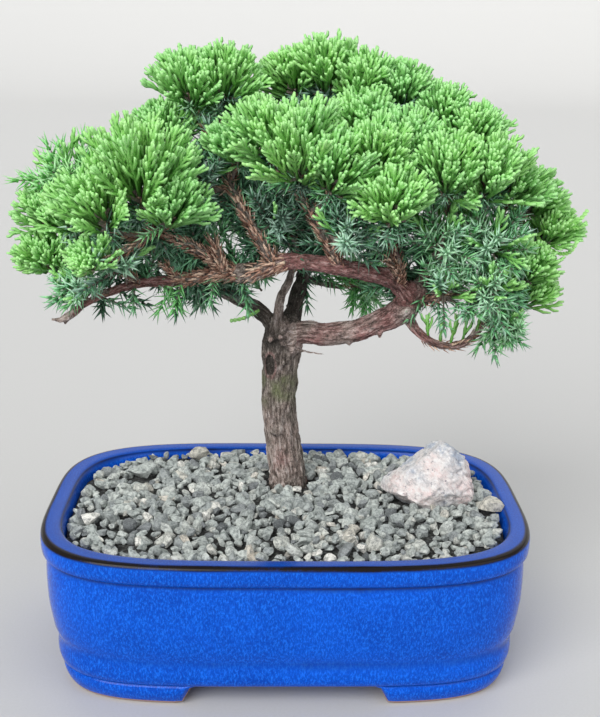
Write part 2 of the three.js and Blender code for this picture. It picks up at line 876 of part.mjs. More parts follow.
// Stems are laid one after the other, and each keeps clear of those before it
function layStems(wood) {
  for (const name of Object.keys(sprays)) {
    const { foot, heading } = placeOf(name);
    const end = foot.clone().addScaledVector(heading, coreLength);
    sprayParts.push({ from: foot, to: end, radius: coreRadius, owner: name });
  }
  const stems = {};
  for (const name of Object.keys(sprays)) {
    const found = stemCurve(name, wood);
    if (!found) throw new Error(`no clear way for the stem of ${name}`);
    stems[name] = [found.seat, THREE.MathUtils.lerp(found.seat, 1, 0.5)].map((u) => ({
      point: found.curve.getPoint(u),
      tangent: found.curve.getTangent(u),
      radius: stemRadius,
    }));
    addParts(sprayParts, [...stems[name], { point: placeOf(name).foot, radius: stemRadius }], name);
  }
  return stems;
}

// The room that a spray may fill: a half-space towards each other spray, from their sizes
function roomOf(name) {
  const ballOf = (key) => {
    const { foot, tip } = placeOf(key);
    return { middle: foot.clone().lerp(tip, 0.6), size: 0.5 * foot.distanceTo(tip) };
  };
  const own = ballOf(name);
  const walls = [];
  for (const other of Object.keys(sprays)) {
    if (other === name) continue;
    const next = ballOf(other);
    const apart = own.middle.distanceTo(next.middle);
    const normal = own.middle.clone().sub(next.middle).divideScalar(apart);
    const reach = (apart * apart + own.size ** 2 - next.size ** 2) / (2 * apart);
    const point = own.middle.clone().addScaledVector(normal, -reach);
    walls.push({ normal, offset: normal.dot(point) });
  }
  return walls;
}

// How far a shoot can grow before it meets a neighbour's room, a limb or a stem
function freeLength(start, heading, wanted, walls, name) {
  const halfWidth = shootHalfWidth[sprays[name][0]];
  let length = wanted;
  for (const { normal, offset } of walls) {
    const left = normal.dot(start) - offset - halfWidth - fitGap / 2;
    const ahead = normal.dot(heading);
    if (left < 0) return 0;
    if (ahead < 0) length = Math.min(length, left / -ahead);
  }
  for (let along = 0; along <= length; along += 1) {
    const point = start.clone().addScaledVector(heading, along);
    if (!isClear(point, halfWidth, name)) return along - halfWidth;
  }
  return length;
}

// A spray's mesh while it grows: faces are replaced by the shoots that stand on them
class Sprig {
  constructor() {
    this.points = [];
    this.faces = [];
  }

  add(point) {
    return this.points.push(point) - 1;
  }

  middleOf(face) {
    const sum = new THREE.Vector3();
    for (const k of face) sum.add(this.points[k]);
    return sum.divideScalar(3);
  }

  // A needle: the face drawn out to one point
  drawOut(index, tip) {
    const [a, b, c] = this.faces[index];
    const top = this.add(tip);
    this.faces[index] = [a, b, top];
    this.faces.push([b, c, top], [c, a, top]);
  }

  // A shoot with a small three-cornered end, which has the shape of the face as seen from there
  extrude(index, end, heading, endRadius) {
    const face = this.faces[index];
    const middle = this.middleOf(face);
    const outs = face.map((k) => {
      const out = this.points[k].clone().sub(middle);
      return out.addScaledVector(heading, -out.dot(heading));
    });
    const scale = endRadius / Math.max(...outs.map((out) => out.length()));
    const ends = outs.map((out) => this.add(end.clone().addScaledVector(out, scale)));
    for (let k = 0; k < 3; k += 1) {
      const j = (k + 1) % 3;
      this.faces.push([face[k], face[j], ends[j]], [face[k], ends[j], ends[k]]);
    }
    this.faces[index] = ends;
  }
}

// Joins two rings of a spray's core, the second with as many or twice as many corners
function bandBetween(low, high) {
  const faces = [];
  const share = high.length / low.length;
  for (let i = 0; i < low.length; i += 1) {
    const next = low[(i + 1) % low.length];
    const above = high.slice(i * share, i * share + share);
    above.push(high[(i * share + share) % high.length]);
    faces.push([low[i], next, above[share]]);
    for (let k = share; k > 0; k -= 1) faces.push([low[i], above[k], above[k - 1]]);
  }
  return faces;
}

// The stem and the slim core of a spray, whose faces the shoots grow out of
function growCore(sprig, stem, { foot, heading, side }, profile) {
  const other = new THREE.Vector3().crossVectors(heading, side);
  const coreRings = profile.map(([along, radius], row) => {
    const ring = [];
    for (let i = 0; i < coreSides; i += 1) {
      const angle = ((i - row / 2) / coreSides) * 2 * Math.PI;
      const p = foot.clone().addScaledVector(heading, along);
      p.addScaledVector(side, radius * Math.cos(angle));
      p.addScaledVector(other, radius * Math.sin(angle));
      ring.push(sprig.add(p));
    }
    return ring;
  });
  const stemRings = [...stem, { point: foot, tangent: heading }].map(({ point, tangent }) =>
    stemSection(point, tangent, side).map((corner) => sprig.add(corner)),
  );
  const [first] = stemRings;
  sprig.faces.push([first[0], first[2], first[1]]);
  for (let row = 0; row + 1 < stemRings.length; row += 1) {
    sprig.faces.push(...bandBetween(stemRings[row], stemRings[row + 1]));
  }
  const rings = [stemRings[stemRings.length - 1], ...coreRings];
  const firstGrowing = sprig.faces.length;
  for (let row = 0; row + 1 < rings.length; row += 1) {
    sprig.faces.push(...bandBetween(rings[row], rings[row + 1]));
  }
  const last = rings[rings.length - 1];
  const peak = sprig.add(foot.clone().addScaledVector(heading, coreLength));
  for (let i = 0; i < coreSides; i += 1) {
    sprig.faces.push([last[i], last[(i + 1) % coreSides], peak]);
  }
  return { firstGrowing, lastGrowing: sprig.faces.length - 1 };
}

// Distance along the core and its radius there
const coreProfiles = {
  shoots: [
    [2.4, 2.4],
    [5.2, 2.8],
    [8, 2.6],
    [10.4, 1.6],
  ],
  needles: [
    [2.2, 1.7],
    [4.8, 2.0],
    [7.6, 1.9],
    [10.2, 1.2],
  ],
};

function makeSpray(name, stem, seed) {
  const kind = sprays[name][0];
  const draw = seededDraw(seed);
  const place = placeOf(name);
  const { foot, tip, heading } = place;
  const reach = tip.distanceTo(foot);
  const walls = roomOf(name);
  const sprig = new Sprig();
  const { firstGrowing, lastGrowing } = growCore(sprig, stem, place, coreProfiles[kind]);
  const focus = foot.clone().addScaledVector(heading, 1.2);
  for (let index = firstGrowing; index <= lastGrowing; index += 1) {
    const start = sprig.middleOf(sprig.faces[index]);
    const ray = start.clone().sub(focus).normalize();
    const forward = ray.dot(heading);
    const pointed = draw() < pointedShare || kind === "needles";
    const grown = draw();
    if (forward < -0.1) continue;
    const out = ray.clone().add(new THREE.Vector3(0, 0, shootLift[kind])).normalize();
    const wanted = reach * (1.06 - 0.06 * forward) * (0.82 + 0.2 * grown) - start.distanceTo(foot);
    const length = freeLength(start, out, Math.max(wanted, 2 * shortestShoot), walls, name);
    if (length < shortestShoot) continue;
    const end = start.clone().addScaledVector(out, length);
    if (pointed) sprig.drawOut(index, end);
    else sprig.extrude(index, end, out, shootTipRadius);
  }
  return meshOf(nodeName(name), geometryOf(sprig.points, sprig.faces), foliageColour[kind], 0.75);
}

// The whole tree in its pot
const bonsai = new THREE.Group();

const container = new THREE.Group();
container.add(makePot());
container.add(makeDrainScreen("drain_screen_left", -drainHoleOffset));
container.add(makeDrainScreen("drain_screen_right", drainHoleOffset));

const ground = new THREE.Group();
ground.add(makeSoil());
ground.add(makeGravel());
ground.add(makeRock());

const tree = new THREE.Group();
const wood = makeWood();
tree.add(wood);
const foliage = new THREE.Group();
const stems = layStems(trianglesOf(wood));
Object.keys(sprays).forEach((name, index) => {
  foliage.add(makeSpray(name, stems[name], firstSeed + seedStep * index));
});
tree.add(foliage);

bonsai.add(container, ground, tree);

// The origin is under the middle of the whole object
const extent = new THREE.Box3().setFromObject(bonsai, true);
bonsai.position.set(-(extent.min.x + extent.max.x) / 2, -(extent.min.y + extent.max.y) / 2, 0);

export default bonsai;
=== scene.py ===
from itertools import product
from math import cos, pi, radians, sin, sqrt
from random import Random

import bmesh
import bpy
from mathutils import Matrix, Vector, kdtree, noise


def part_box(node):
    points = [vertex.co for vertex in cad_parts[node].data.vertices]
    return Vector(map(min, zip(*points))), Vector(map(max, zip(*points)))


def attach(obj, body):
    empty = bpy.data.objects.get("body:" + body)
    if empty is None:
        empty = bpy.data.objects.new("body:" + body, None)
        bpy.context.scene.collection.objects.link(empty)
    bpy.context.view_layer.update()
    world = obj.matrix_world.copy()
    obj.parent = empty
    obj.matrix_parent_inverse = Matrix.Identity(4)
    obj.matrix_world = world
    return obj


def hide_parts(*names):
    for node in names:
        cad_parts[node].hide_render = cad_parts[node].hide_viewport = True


# Garden juniper bonsai in a blue glazed pot.
# Everything is modelled in millimetres round the pot's middle and moved to the frame at the end.
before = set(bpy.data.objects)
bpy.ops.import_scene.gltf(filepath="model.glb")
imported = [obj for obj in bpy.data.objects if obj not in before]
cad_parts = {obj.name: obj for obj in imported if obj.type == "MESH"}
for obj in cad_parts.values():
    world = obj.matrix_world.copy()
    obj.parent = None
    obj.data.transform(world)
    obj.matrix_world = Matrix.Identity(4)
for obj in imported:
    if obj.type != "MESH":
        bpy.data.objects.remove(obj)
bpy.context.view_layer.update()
potLow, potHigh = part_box("pot")
potMiddle = Vector(((potLow.x + potHigh.x) / 2, (potLow.y + potHigh.y) / 2, 0))
toFrame = Matrix.Translation(potMiddle) @ Matrix.Scale(0.001, 4)
print("frame loaded, pot middle at", tuple(round(c, 5) for c in potMiddle))

upward = Vector((0, 0, 1))
weldGap = 1e-4


# Helpers for numbers and meshes

def smoothStep(value):
    value = min(max(value, 0), 1)
    return value * value * (3 - 2 * value)


def bandOf(value, low, high):
    # rises from 0 to 1 between low and high
    return smoothStep((value - low) / (high - low))


def anyVector(rnd):
    return Vector((rnd.gauss(0, 1), rnd.gauss(0, 1), rnd.gauss(0, 1)))


def blankMesh(*layers):
    # an empty mesh that carries a number of each name at its corners
    bm = bmesh.new()
    for layer in layers:
        bm.verts.layers.float.new(layer)
    return bm


def meshFrom(name, bm):
    mesh = bpy.data.meshes.new(name)
    bm.to_mesh(mesh)
    bm.free()
    return mesh


def addObject(name, data):
    thing = bpy.data.objects.new(name, data)
    bpy.context.collection.objects.link(thing)
    return thing


def finishPiece(name, bm, materials, nodes):
    bmesh.ops.transform(bm, matrix=toFrame, verts=bm.verts)
    mesh = meshFrom(name, bm)
    for material in materials:
        mesh.materials.append(material)
    piece = addObject(name, mesh)
    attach(piece, "root")
    if nodes:
        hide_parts(*nodes)
    print(name, sum(len(face.vertices) - 2 for face in mesh.polygons), "triangles")
    return piece


def shapeFrom(name, bm):
    # a loose mesh that is copied many times
    mesh = meshFrom(name, bm)
    mesh.shade_smooth()
    mesh.attributes.new("tint", "FLOAT", "POINT")
    return mesh


def addCopy(bm, shape, matrix, tint):
    copy = shape.copy()
    copy.transform(matrix)
    copy.attributes["tint"].data.foreach_set("value", [tint] * len(copy.vertices))
    bm.from_mesh(copy)
    bpy.data.meshes.remove(copy)


def addSheet(bm, columns, rows, place):
    # a grid whose corners are moved by place(vert, u, v), u and v from 0 to 1, and welded where they meet
    made = bmesh.ops.create_grid(bm, x_segments=columns, y_segments=rows, size=1)
    for vert in made["verts"]:
        place(vert, (vert.co.x + 1) / 2, (vert.co.y + 1) / 2)
    bmesh.ops.remove_doubles(bm, verts=made["verts"], dist=weldGap)


def afterModifiers(rough):
    # the mesh that a helper object's modifiers make of it
    bpy.context.view_layer.update()
    seen = rough.evaluated_get(bpy.context.evaluated_depsgraph_get())
    bm = bmesh.new()
    bm.from_mesh(bpy.data.meshes.new_from_object(seen))
    bpy.data.objects.remove(rough)
    return bm


def meshLess(bm, tool):
    # one closed mesh less another
    body = addObject("body", meshFrom("body", bm))
    cutter = addObject("tool", meshFrom("tool", tool))
    cut = body.modifiers.new("cut", "BOOLEAN")
    cut.operation = "DIFFERENCE"
    cut.object = cutter
    left = afterModifiers(body)
    bpy.data.objects.remove(cutter)
    return left


def fusedMesh(bm, voxel):
    # crossing closed meshes as one skin
    rough = addObject("rough", meshFrom("rough", bm))
    remesh = rough.modifiers.new("fuse", "REMESH")
    remesh.mode = "VOXEL"
    remesh.voxel_size = voxel
    return afterModifiers(rough)


def framesAlong(points):
    # direction, side and other side at each point, turned as little as possible
    frames = []
    side = None
    for k, point in enumerate(points):
        ahead = points[min(k + 1, len(points) - 1)] - points[max(k - 1, 0)]
        ahead.normalize()
        if side is None:
            side = ahead.cross(Vector((0.3, 0.2, 1)) if abs(ahead.z) < 0.9 else Vector((1, 0.2, 0.1)))
        else:
            side = side - ahead * side.dot(ahead)
        side.normalize()
        frames.append((ahead, side.copy(), ahead.cross(side)))
    return frames


def addTube(bm, points, sides, widthAt, tipFrom=0.0, tipTo=0.0):
    # a closed tube along points; widthAt(row, column) gives the radius
    tipLayer = bm.verts.layers.float.get("tip")
    frames = framesAlong(points)
    last = len(points) - 1
    rows = last + 2

    def place(vert, u, v):
        row = round(v * rows)
        k = min(max(row - 1, 0), last)
        column = round(u * sides) % sides
        angle = 2 * pi * column / sides
        radius = 0 if row in (0, rows) else widthAt(k, column)
        _, side, other = frames[k]
        vert.co = points[k] + side * (radius * cos(angle)) + other * (radius * sin(angle))
        if tipLayer:
            vert[tipLayer] = tipFrom + (tipTo - tipFrom) * k / last

    addSheet(bm, sides, rows, place)


def turnedTo(direction, roll):
    # the turn that takes +Z to a direction
    return direction.to_track_quat("Z", "Y").to_matrix().to_4x4() @ Matrix.Rotation(roll, 4, "Z")


# Helpers for materials

def newMaterial(name):
    material = bpy.data.materials.new(name)
    material.use_nodes = True
    tree = material.node_tree
    return material, tree, tree.nodes["Principled BSDF"]


def feed(tree, socket, value):
    # a socket takes a number, a colour or what another node gives
    if isinstance(value, (int, float)):
        socket.default_value = value
    elif isinstance(value, tuple):
        socket.default_value = (*value, 1)
    else:
        tree.links.new(value, socket)


def objectPlace(tree, scale=(1, 1, 1)):
    coordinates = tree.nodes.new("ShaderNodeTexCoord")
    mapping = tree.nodes.new("ShaderNodeMapping")
    mapping.inputs["Scale"].default_value = scale
    tree.links.new(coordinates.outputs["Object"], mapping.inputs["Vector"])
    return mapping.outputs["Vector"]


def noiseAt(tree, place, scale, detail=3.0, roughness=0.55, distortion=0.0):
    node = tree.nodes.new("ShaderNodeTexNoise")
    node.inputs["Scale"].default_value = scale
    node.inputs["Detail"].default_value = detail
    node.inputs["Roughness"].default_value = roughness
    node.inputs["Distortion"].default_value = distortion
    tree.links.new(place, node.inputs["Vector"])
    return node.outputs["Fac"]


def noiseOn(tree, *settings):
    # scale, detail, roughness and distortion of a noise on the object's own coordinates
    return noiseAt(tree, objectPlace(tree), *settings)


def cellsOn(tree, scale):
    node = tree.nodes.new("ShaderNodeTexVoronoi")
    node.inputs["Scale"].default_value = scale
    tree.links.new(objectPlace(tree), node.inputs["Vector"])
    return node.outputs["Distance"]


def attributeOf(tree, name, output="Fac"):
    node = tree.nodes.new("ShaderNodeAttribute")
    node.attribute_name = name
    return node.outputs[output]


def rampOf(tree, value, stops):
    node = tree.nodes.new("ShaderNodeValToRGB")
    ramp = node.color_ramp
    while len(ramp.elements) < len(stops):
        ramp.elements.new(0.5)
    for element, (position, colour) in zip(ramp.elements, stops):
        element.position = position
        element.color = (*colour, 1)
    tree.links.new(value, node.inputs["Fac"])
    return node.outputs["Color"]


def greyRamp(tree, value, start, end):
    # 0 up to start and 1 from end on, whichever of them is the larger
    stops = sorted([(start, (0, 0, 0)), (end, (1, 1, 1))])
    return rampOf(tree, value, stops)


def mixed(tree, factor, first, second):
    node = tree.nodes.new("ShaderNodeMix")
    node.data_type = "RGBA"
    for socket, value in ((node.inputs[0], factor), (node.inputs[6], first), (node.inputs[7], second)):
        feed(tree, socket, value)
    return node.outputs[2]


def mathOf(tree, operation, first, second):
    node = tree.nodes.new("ShaderNodeMath")
    node.operation = operation
    for socket, value in zip(node.inputs, (first, second)):
        feed(tree, socket, value)
    return node.outputs[0]


def scaled(tree, value, factor):
    return mathOf(tree, "MULTIPLY", value, factor)


def sourceOf(tree, source):
    # an attribute by its name, a noise by its scale, detail and roughness, or cells by their scale
    if isinstance(source, str):
        return attributeOf(tree, source)
    if isinstance(source, tuple):
        return noiseOn(tree, *source)
    return cellsOn(tree, source)


def laidOver(tree, colour, cover, value, start, end, share=1.0):
    # a colour that covers another one as a value goes from start to end
    return mixed(tree, scaled(tree, greyRamp(tree, value, start, end), share), colour, cover)


def finishLook(tree, shader, colour, roughness, height, strength, distance):
    feed(tree, shader.inputs["Base Color"], colour)
    feed(tree, shader.inputs["Roughness"], roughness)
    bump = tree.nodes.new("ShaderNodeBump")
    bump.inputs["Strength"].default_value = strength
    bump.inputs["Distance"].default_value = distance
    tree.links.new(height, bump.inputs["Height"])
    tree.links.new(bump.outputs["Normal"], shader.inputs["Normal"])


def makeLook(name, look):
    # colours along a source, with others laid over them; the grain is the source too, or one of its own
    material, tree, shader = newMaterial(name)
    colour = rampOf(tree, sourceOf(tree, look["base"]), look["stops"])
    for cover, source, start, end, share in look.get("layers", []):
        colour = laidOver(tree, colour, cover, sourceOf(tree, source), start, end, share)
    grain = sourceOf(tree, look.get("grain", look["base"]))
    finishLook(tree, shader, colour, look["roughness"], grain, *look["bump"])
    return material


# Pot

potShape = {
    "halfLength": 101.5,
    "halfDepth": 68.2,
    "height": 65,
    "rimRoundness": 3.85,
    "footRoundness": 4.7,
    "sides": 224,
    "footTop": 10.2,
    "gapRise": 9.6,
    "frontGap": (36.5, 5.5),
    "sideGap": (16, 4.5),
    "drainHoles": (42, 7),
    "drillDepth": 20,
}

# height, inset from the rim's outline, dark edge line, bare clay; the dark-line values also darken the groove
# under the lip and the foot crease, and from 17 to 22.4 high they are painted shade on the waist
potWall = [
    (7.4, 30), (7.4, 14), (8.1, 10.6), (8.7, 8.9), (9.2, 8.0, 0.45), (9.8, 7.2, 0.3), (11, 6.3, 0.1),
    # painted shade: the dark-line values from 17 to 22.4 high darken the waist
    (13, 5.75), (15, 5.6), (17, 5.75, 0.05), (18.8, 5.95, 0.25), (20.6, 5.9, 0.3), (22.4, 5.3, 0.12),
    (25, 4.25), (28, 3.75), (31, 3.2), (34, 2.75), (37, 2.4), (41, 2.15), (45, 2.0), (49, 1.95),
    (52.5, 2.1), (54.3, 2.4, 0.3), (55.1, 2.55, 0.55), (55.7, 2.2, 0.5), (56.2, 1.4, 0.3),
    (56.9, 0.75, 0.12), (57.6, 0.3), (59.5, 0.08), (61.5, 0), (63, 0.06, 0.15), (63.8, 0.25, 0.8),
    (64.4, 0.6, 1), (64.8, 1.1, 1), (65, 1.8, 0.75), (65.05, 2.6, 0.12), (65.05, 4.4), (64.95, 6.4),
    (64.7, 7.2, 0.2), (64.2, 7.9, 0.7), (63.3, 8.5, 0.35), (61, 9.2), (54, 9.8), (40, 11.2, 0, 0.3),
    (24, 12.8, 0, 1), (16, 15.5, 0, 1), (13.4, 19.5, 0, 1), (13, 24, 0, 1), (13, 30, 0, 1),
]

# the foot belt, from its outer top down and round to its inner top
footBelt = [
    (10.2, 9.4, 0.3), (9.0, 8.1, 0.3), (8.0, 7.5), (6.4, 7.45), (4.6, 7.9), (3.0, 8.5),
    (1.9, 9.1, 0, 0.1), (1.1, 9.6, 0, 0.9), (0.45, 10.1, 0, 1), (0.1, 10.8, 0, 1), (0, 11.6, 0, 1),
    (0, 22.5, 0, 1), (0.3, 23.6, 0, 1), (1.6, 24.4, 0, 1), (10.2, 25, 0, 1),
]


def outlineAt(share, height, inset):
    # the pot's rounded oblong outline, share of the way round
    blend = min(max(height / potShape["height"], 0), 1)
    power = 2 / (potShape["footRoundness"] + blend * (potShape["rimRoundness"] - potShape["footRoundness"]))
    c, s = cos(2 * pi * share), sin(2 * pi * share)
    x = (potShape["halfLength"] - inset) * abs(c) ** power * (1 if c > 0 else -1)
    y = (potShape["halfDepth"] - inset) * abs(s) ** power * (1 if s > 0 else -1)
    return Vector((x, y, height))


def isInsidePot(x, y, inset):
    roundness = potShape["rimRoundness"]
    across = abs(x) / (potShape["halfLength"] - inset)
    along = abs(y) / (potShape["halfDepth"] - inset)
    return across ** roundness + along ** roundness < 1


def footRise(point):
    # 0 on a foot and 1 in the gaps between the feet, with a curved end
    reach, blend = potShape["frontGap"]
    front = 1 - smoothStep((abs(point.x) - reach) / blend)
    reach, blend = potShape["sideGap"]
    side = 1 - smoothStep((abs(point.y) - reach) / blend)
    return max(front, side)


def addPotWall(bm, profile, rises):
    edge, clay = bm.verts.layers.float["edge"], bm.verts.layers.float["clay"]
    sides, rows = potShape["sides"], len(profile) - 1

    def place(vert, u, v):
        height, inset, edgeLineAndShade, clayTint = (*profile[round(v * rows)], 0, 0)[:4]
        share = (round(u * sides) % sides + 0.5) / sides
        vert.co = outlineAt(share, height, inset)
        if rises:
            # between the feet the belt shrinks up against the wall and keeps its glaze
            rise = footRise(vert.co)
            vert.co.z += rise * potShape["gapRise"] * (1 - height / potShape["footTop"])
            clayTint *= 1 - 0.8 * rise
        # the dark-line number also carries the painted shade on the waist
        vert[edge] = edgeLineAndShade
        vert[clay] = clayTint

    addSheet(bm, sides, rows, place)


def makePot(material):
    parts = []
    for profile, rises in ((potWall, False), (footBelt + footBelt[:1], True)):
        bm = blankMesh("edge", "clay")
        addPotWall(bm, profile, rises)
        bmesh.ops.holes_fill(bm, edges=[e for e in bm.edges if e.is_boundary], sides=0)
        bmesh.ops.recalc_face_normals(bm, faces=bm.faces)
        parts.append(bm)
    drills = bmesh.new()
    offset, radius = potShape["drainHoles"]
    depth = potShape["drillDepth"]
    for x in (-offset, offset):
        place = Matrix.Translation((x, 0, depth / 2))
        bmesh.ops.create_cone(drills, cap_ends=True, segments=32, radius1=radius, radius2=radius, depth=depth,
                              matrix=place)
    bm = meshLess(parts[0], drills)
    bm.from_mesh(meshFrom("feet", parts[1]))
    finishPiece("glazedPot", bm, [material], ["pot"]).data.shade_smooth()


glazeLook = {
    "deep": (0.001, 0.04, 0.32),
    # painted reflection: the darker blue laid on the flat top of the rim
    "rimTopDarkReflection": (0.0005, 0.04, 0.23),
    "blue": (0.002, 0.082, 0.58),
    "pale": (0.012, 0.19, 0.88),
    # colour of the dark edge line, also used for the painted shade on the waist
    "edge": (0.01, 0.007, 0.006),
    "clay": (0.46, 0.3, 0.24),
    "streaks": (1500, 4, 0.75),
    "streakStretch": (1, 1, 0.42),
    "clouds": (34, 3, 0.6),
    "rimTop": (0.0638, 0.0646),
    "glossy": (0.17, 0.17, 0.17),
    "rough": (0.85, 0.85, 0.85),
    "bump": (0.1, 0.0003),
}


def makeGlaze():
    material, tree, shader = newMaterial("cobaltGlaze")
    streaks = noiseAt(tree, objectPlace(tree, glazeLook["streakStretch"]), *glazeLook["streaks"])
    clouds = noiseOn(tree, *glazeLook["clouds"])
    colour = laidOver(tree, glazeLook["deep"], glazeLook["blue"], clouds, 0.4, 0.6)
    colour = mixed(tree, 0.6, colour, glazeLook["blue"])
    colour = laidOver(tree, colour, glazeLook["deep"], streaks, 0.52, 0.42, 0.4)
    colour = laidOver(tree, colour, glazeLook["pale"], streaks, 0.49, 0.62, 0.6)
    # painted reflection: the flat top of the rim is coloured darker, for the dark reflection it shows
    height = tree.nodes.new("ShaderNodeSeparateXYZ")
    tree.links.new(objectPlace(tree), height.inputs["Vector"])
    colour = laidOver(tree, colour, glazeLook["rimTopDarkReflection"], height.outputs["Z"], *glazeLook["rimTop"], 0.8)
    # the dark edge line, the darkening in the groove and the crease, the painted shade on the waist and the
    # bare clay end in a ragged way
    streakOff = mathOf(tree, "SUBTRACT", streaks, 0.5)
    ragged = mathOf(tree, "ADD", mathOf(tree, "SUBTRACT", clouds, 0.5), streakOff)
    edge = mathOf(tree, "ADD", attributeOf(tree, "edge"), scaled(tree, ragged, 0.8))
    colour = laidOver(tree, colour, glazeLook["edge"], edge, 0.2, 0.85)
    bare = mathOf(tree, "ADD", attributeOf(tree, "clay"), scaled(tree, streakOff, 0.3))
    bare = greyRamp(tree, bare, 0.42, 0.58)
    colour = mixed(tree, bare, colour, glazeLook["clay"])
    roughness = rampOf(tree, bare, [(0, glazeLook["glossy"]), (1, glazeLook["rough"])])
    shader.inputs["IOR"].default_value = 1.42
    shader.inputs["Specular IOR Level"].default_value = 0.2
    finishLook(tree, shader, colour, roughness, streaks, *glazeLook["bump"])
    return material


makePot(makeGlaze())
print("pot done")


# The drain screens and the soil keep their shape and get their finish

screenLook = {
    "base": (2500, 3),
    "stops": [(0.3, (0.02, 0.02, 0.022)), (0.7, (0.045, 0.045, 0.05))],
    "roughness": 0.6,
    "bump": (0.2, 0.0001),
}

soilLook = {
    "base": (420, 6, 0.7),
    "stops": [(0.3, (0.018, 0.011, 0.008)), (0.55, (0.06, 0.037, 0.024)), (0.75, (0.14, 0.09, 0.055))],
    "layers": [((0.015, 0.01, 0.007), 260, 0.5, 0.1, 1)],
    "roughness": 0.95,
    "bump": (0.9, 0.0015),
}

screenPlastic, barkLoam = makeLook("screenPlastic", screenLook), makeLook("barkLoam", soilLook)
finishes = {"drain_screen_left": screenPlastic, "drain_screen_right": screenPlastic, "soil": barkLoam}
for node, finish in finishes.items():
    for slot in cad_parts[node].material_slots:
        slot.material = finish
print("soil and screens finished")


# Gravel

# layers: the pitch of the stones in each, and how far above the bed they lie
gravelShape = {
    "seed": 5,
    "edgeHeight": 61.5,
    "mound": 4,
    "moundMiddle": 14,
    "heapHeight": 1.3,
    "heapWidth": 0.035,
    "wallInset": 9.9,
    "trunk": (1, 20, 9.6),
    "rock": (62, 3, 12.5, 8.5),
    "kinds": 14,
    "sizes": (3.2, 3.8, 4.4, 5.0, 5.8, 6.8, 8.2),
    "rowShare": 0.87,
    "strays": 1.7,
    "layers": ((4.9, 0.2), (4.9 * 1.55, 1.9)),
    "highest": 66.5,
    "highestAtWall": 63.6,
    "bedSides": 120,
    "bedRows": 26,
    "bedEdge": (62, 10),
    "bedDepth": 2.3,
    "bedBottom": 55.4,
}

# stones that stand out: place, length, width and height of 1, turn, tint
largeStones = [
    (-65.7, 27, 66.2, 16, 0.8, 0.42, 0.25, 0.62),
    (-81.5, -22, 64.3, 9, 0.7, 0.6, 0.4, 0.99),
    (-65, -28, 64.3, 8, 0.8, 0.7, 1.2, 0.02),
    (-58, -31, 64.3, 7, 0.8, 0.7, 0.3, 0.04),
    (-52, -26, 64.8, 9.5, 0.85, 0.7, 0.8, 0.12),
    (87, -7, 65.0, 12, 0.75, 0.72, 0.1, 0.94),
    (-42, 49, 66.3, 11, 0.6, 0.8, 0, 0.94),
]


def gravelHeight(x, y):
    across = (x / potShape["halfLength"]) ** 2
    along = ((y - gravelShape["moundMiddle"]) / potShape["halfDepth"]) ** 2
    mound = gravelShape["mound"] * max(0, 1 - across - 0.9 * along)
    width = gravelShape["heapWidth"]
    heap = gravelShape["heapHeight"] * noise.noise(Vector((x * width, y * width, 3.1)))
    return gravelShape["edgeHeight"] + mound + heap


def isFreeSpot(x, y, size):
    # inside the pot, and clear of the trunk, the rock and the large stones
    if not isInsidePot(x, y, gravelShape["wallInset"] + 0.28 * size):
        return False
    trunkX, trunkY, trunkRadius = gravelShape["trunk"]
    if (x - trunkX) ** 2 + (y - trunkY) ** 2 < (trunkRadius + 0.2 * size) ** 2:
        return False
    rockX, rockY, halfX, halfY = gravelShape["rock"]
    if ((x - rockX) / halfX) ** 2 + ((y - rockY) / halfY) ** 2 < 1:
        return False
    return all((x - large[0]) ** 2 + (y - large[1]) ** 2 >= (0.42 * large[3]) ** 2 for large in largeStones)


def makeStoneShape(kind, rnd):
    # a chip with flat broken faces, about 1 mm across before it is scaled
    bm = bmesh.new()
    bmesh.ops.create_icosphere(bm, subdivisions=2, radius=0.6)
    for _ in range(8 + kind % 3):
        normal = anyVector(rnd).normalized()
        depth = rnd.uniform(0.24, 0.4)
        for vert in bm.verts:
            over = vert.co.dot(normal) - depth
            if over > 0:
                vert.co -= normal * over
    for vert in bm.verts:
        vert.co *= 1 + 0.03 * noise.noise(vert.co * 5 + Vector((kind, 0, 0)))
    mesh = shapeFrom("stone", bm)
    mesh.shade_flat()
    return mesh


def makeGravel(material):
    rnd = Random(gravelShape["seed"])
    shapes = [makeStoneShape(kind, rnd) for kind in range(gravelShape["kinds"])]
    bm = bmesh.new()
    rowShare, strays = gravelShape["rowShare"], gravelShape["strays"]
    halfLength, halfDepth = potShape["halfLength"], potShape["halfDepth"]
    count = 0
    for pitch, raised in gravelShape["layers"]:
        rows, columns = int(2 * halfDepth / (pitch * rowShare)), int(2 * halfLength / pitch)
        for row, column in product(range(rows + 1), range(columns + 1)):
            x = -halfLength + (column + 0.5 * (row % 2)) * pitch + rnd.uniform(-strays, strays)
            y = -halfDepth + row * pitch * rowShare + rnd.uniform(-strays, strays)
            size = rnd.choice(gravelShape["sizes"]) * rnd.uniform(0.9, 1.12)
            squash = Vector((1, rnd.uniform(0.62, 0.95), rnd.uniform(0.48, 0.8)))
            turn = Matrix.Rotation(rnd.uniform(0, 2 * pi), 4, "Z")
            for tilt, axis in ((0.5, "X"), (0.45, "Y")):
                turn = turn @ Matrix.Rotation(rnd.gauss(0, tilt), 4, axis)
            tint = rnd.random()
            if not isFreeSpot(x, y, size):
                continue
            z = gravelHeight(x, y) + raised - 0.16 * size + rnd.uniform(-0.5, 0.5)
            byWall = not isInsidePot(x, y, 20)
            z = min(z, gravelShape["highestAtWall"] if byWall else gravelShape["highest"] - 0.3 * size)
            grown = Matrix.Diagonal((*(squash * size), 1))
            addCopy(bm, rnd.choice(shapes), Matrix.Translation((x, y, z)) @ turn @ grown, tint)
            count += 1
    for x, y, z, size, width, tall, turn, tint in largeStones:
        grown = Matrix.Rotation(turn, 4, "Z") @ Matrix.Diagonal((size, size * width, size * tall, 1))
        addCopy(bm, shapes[count % len(shapes)], Matrix.Translation((x, y, z)) @ grown, tint)
        count += 1
    print(count, "stones")
    finishPiece("gravelStones", bm, [material], [])


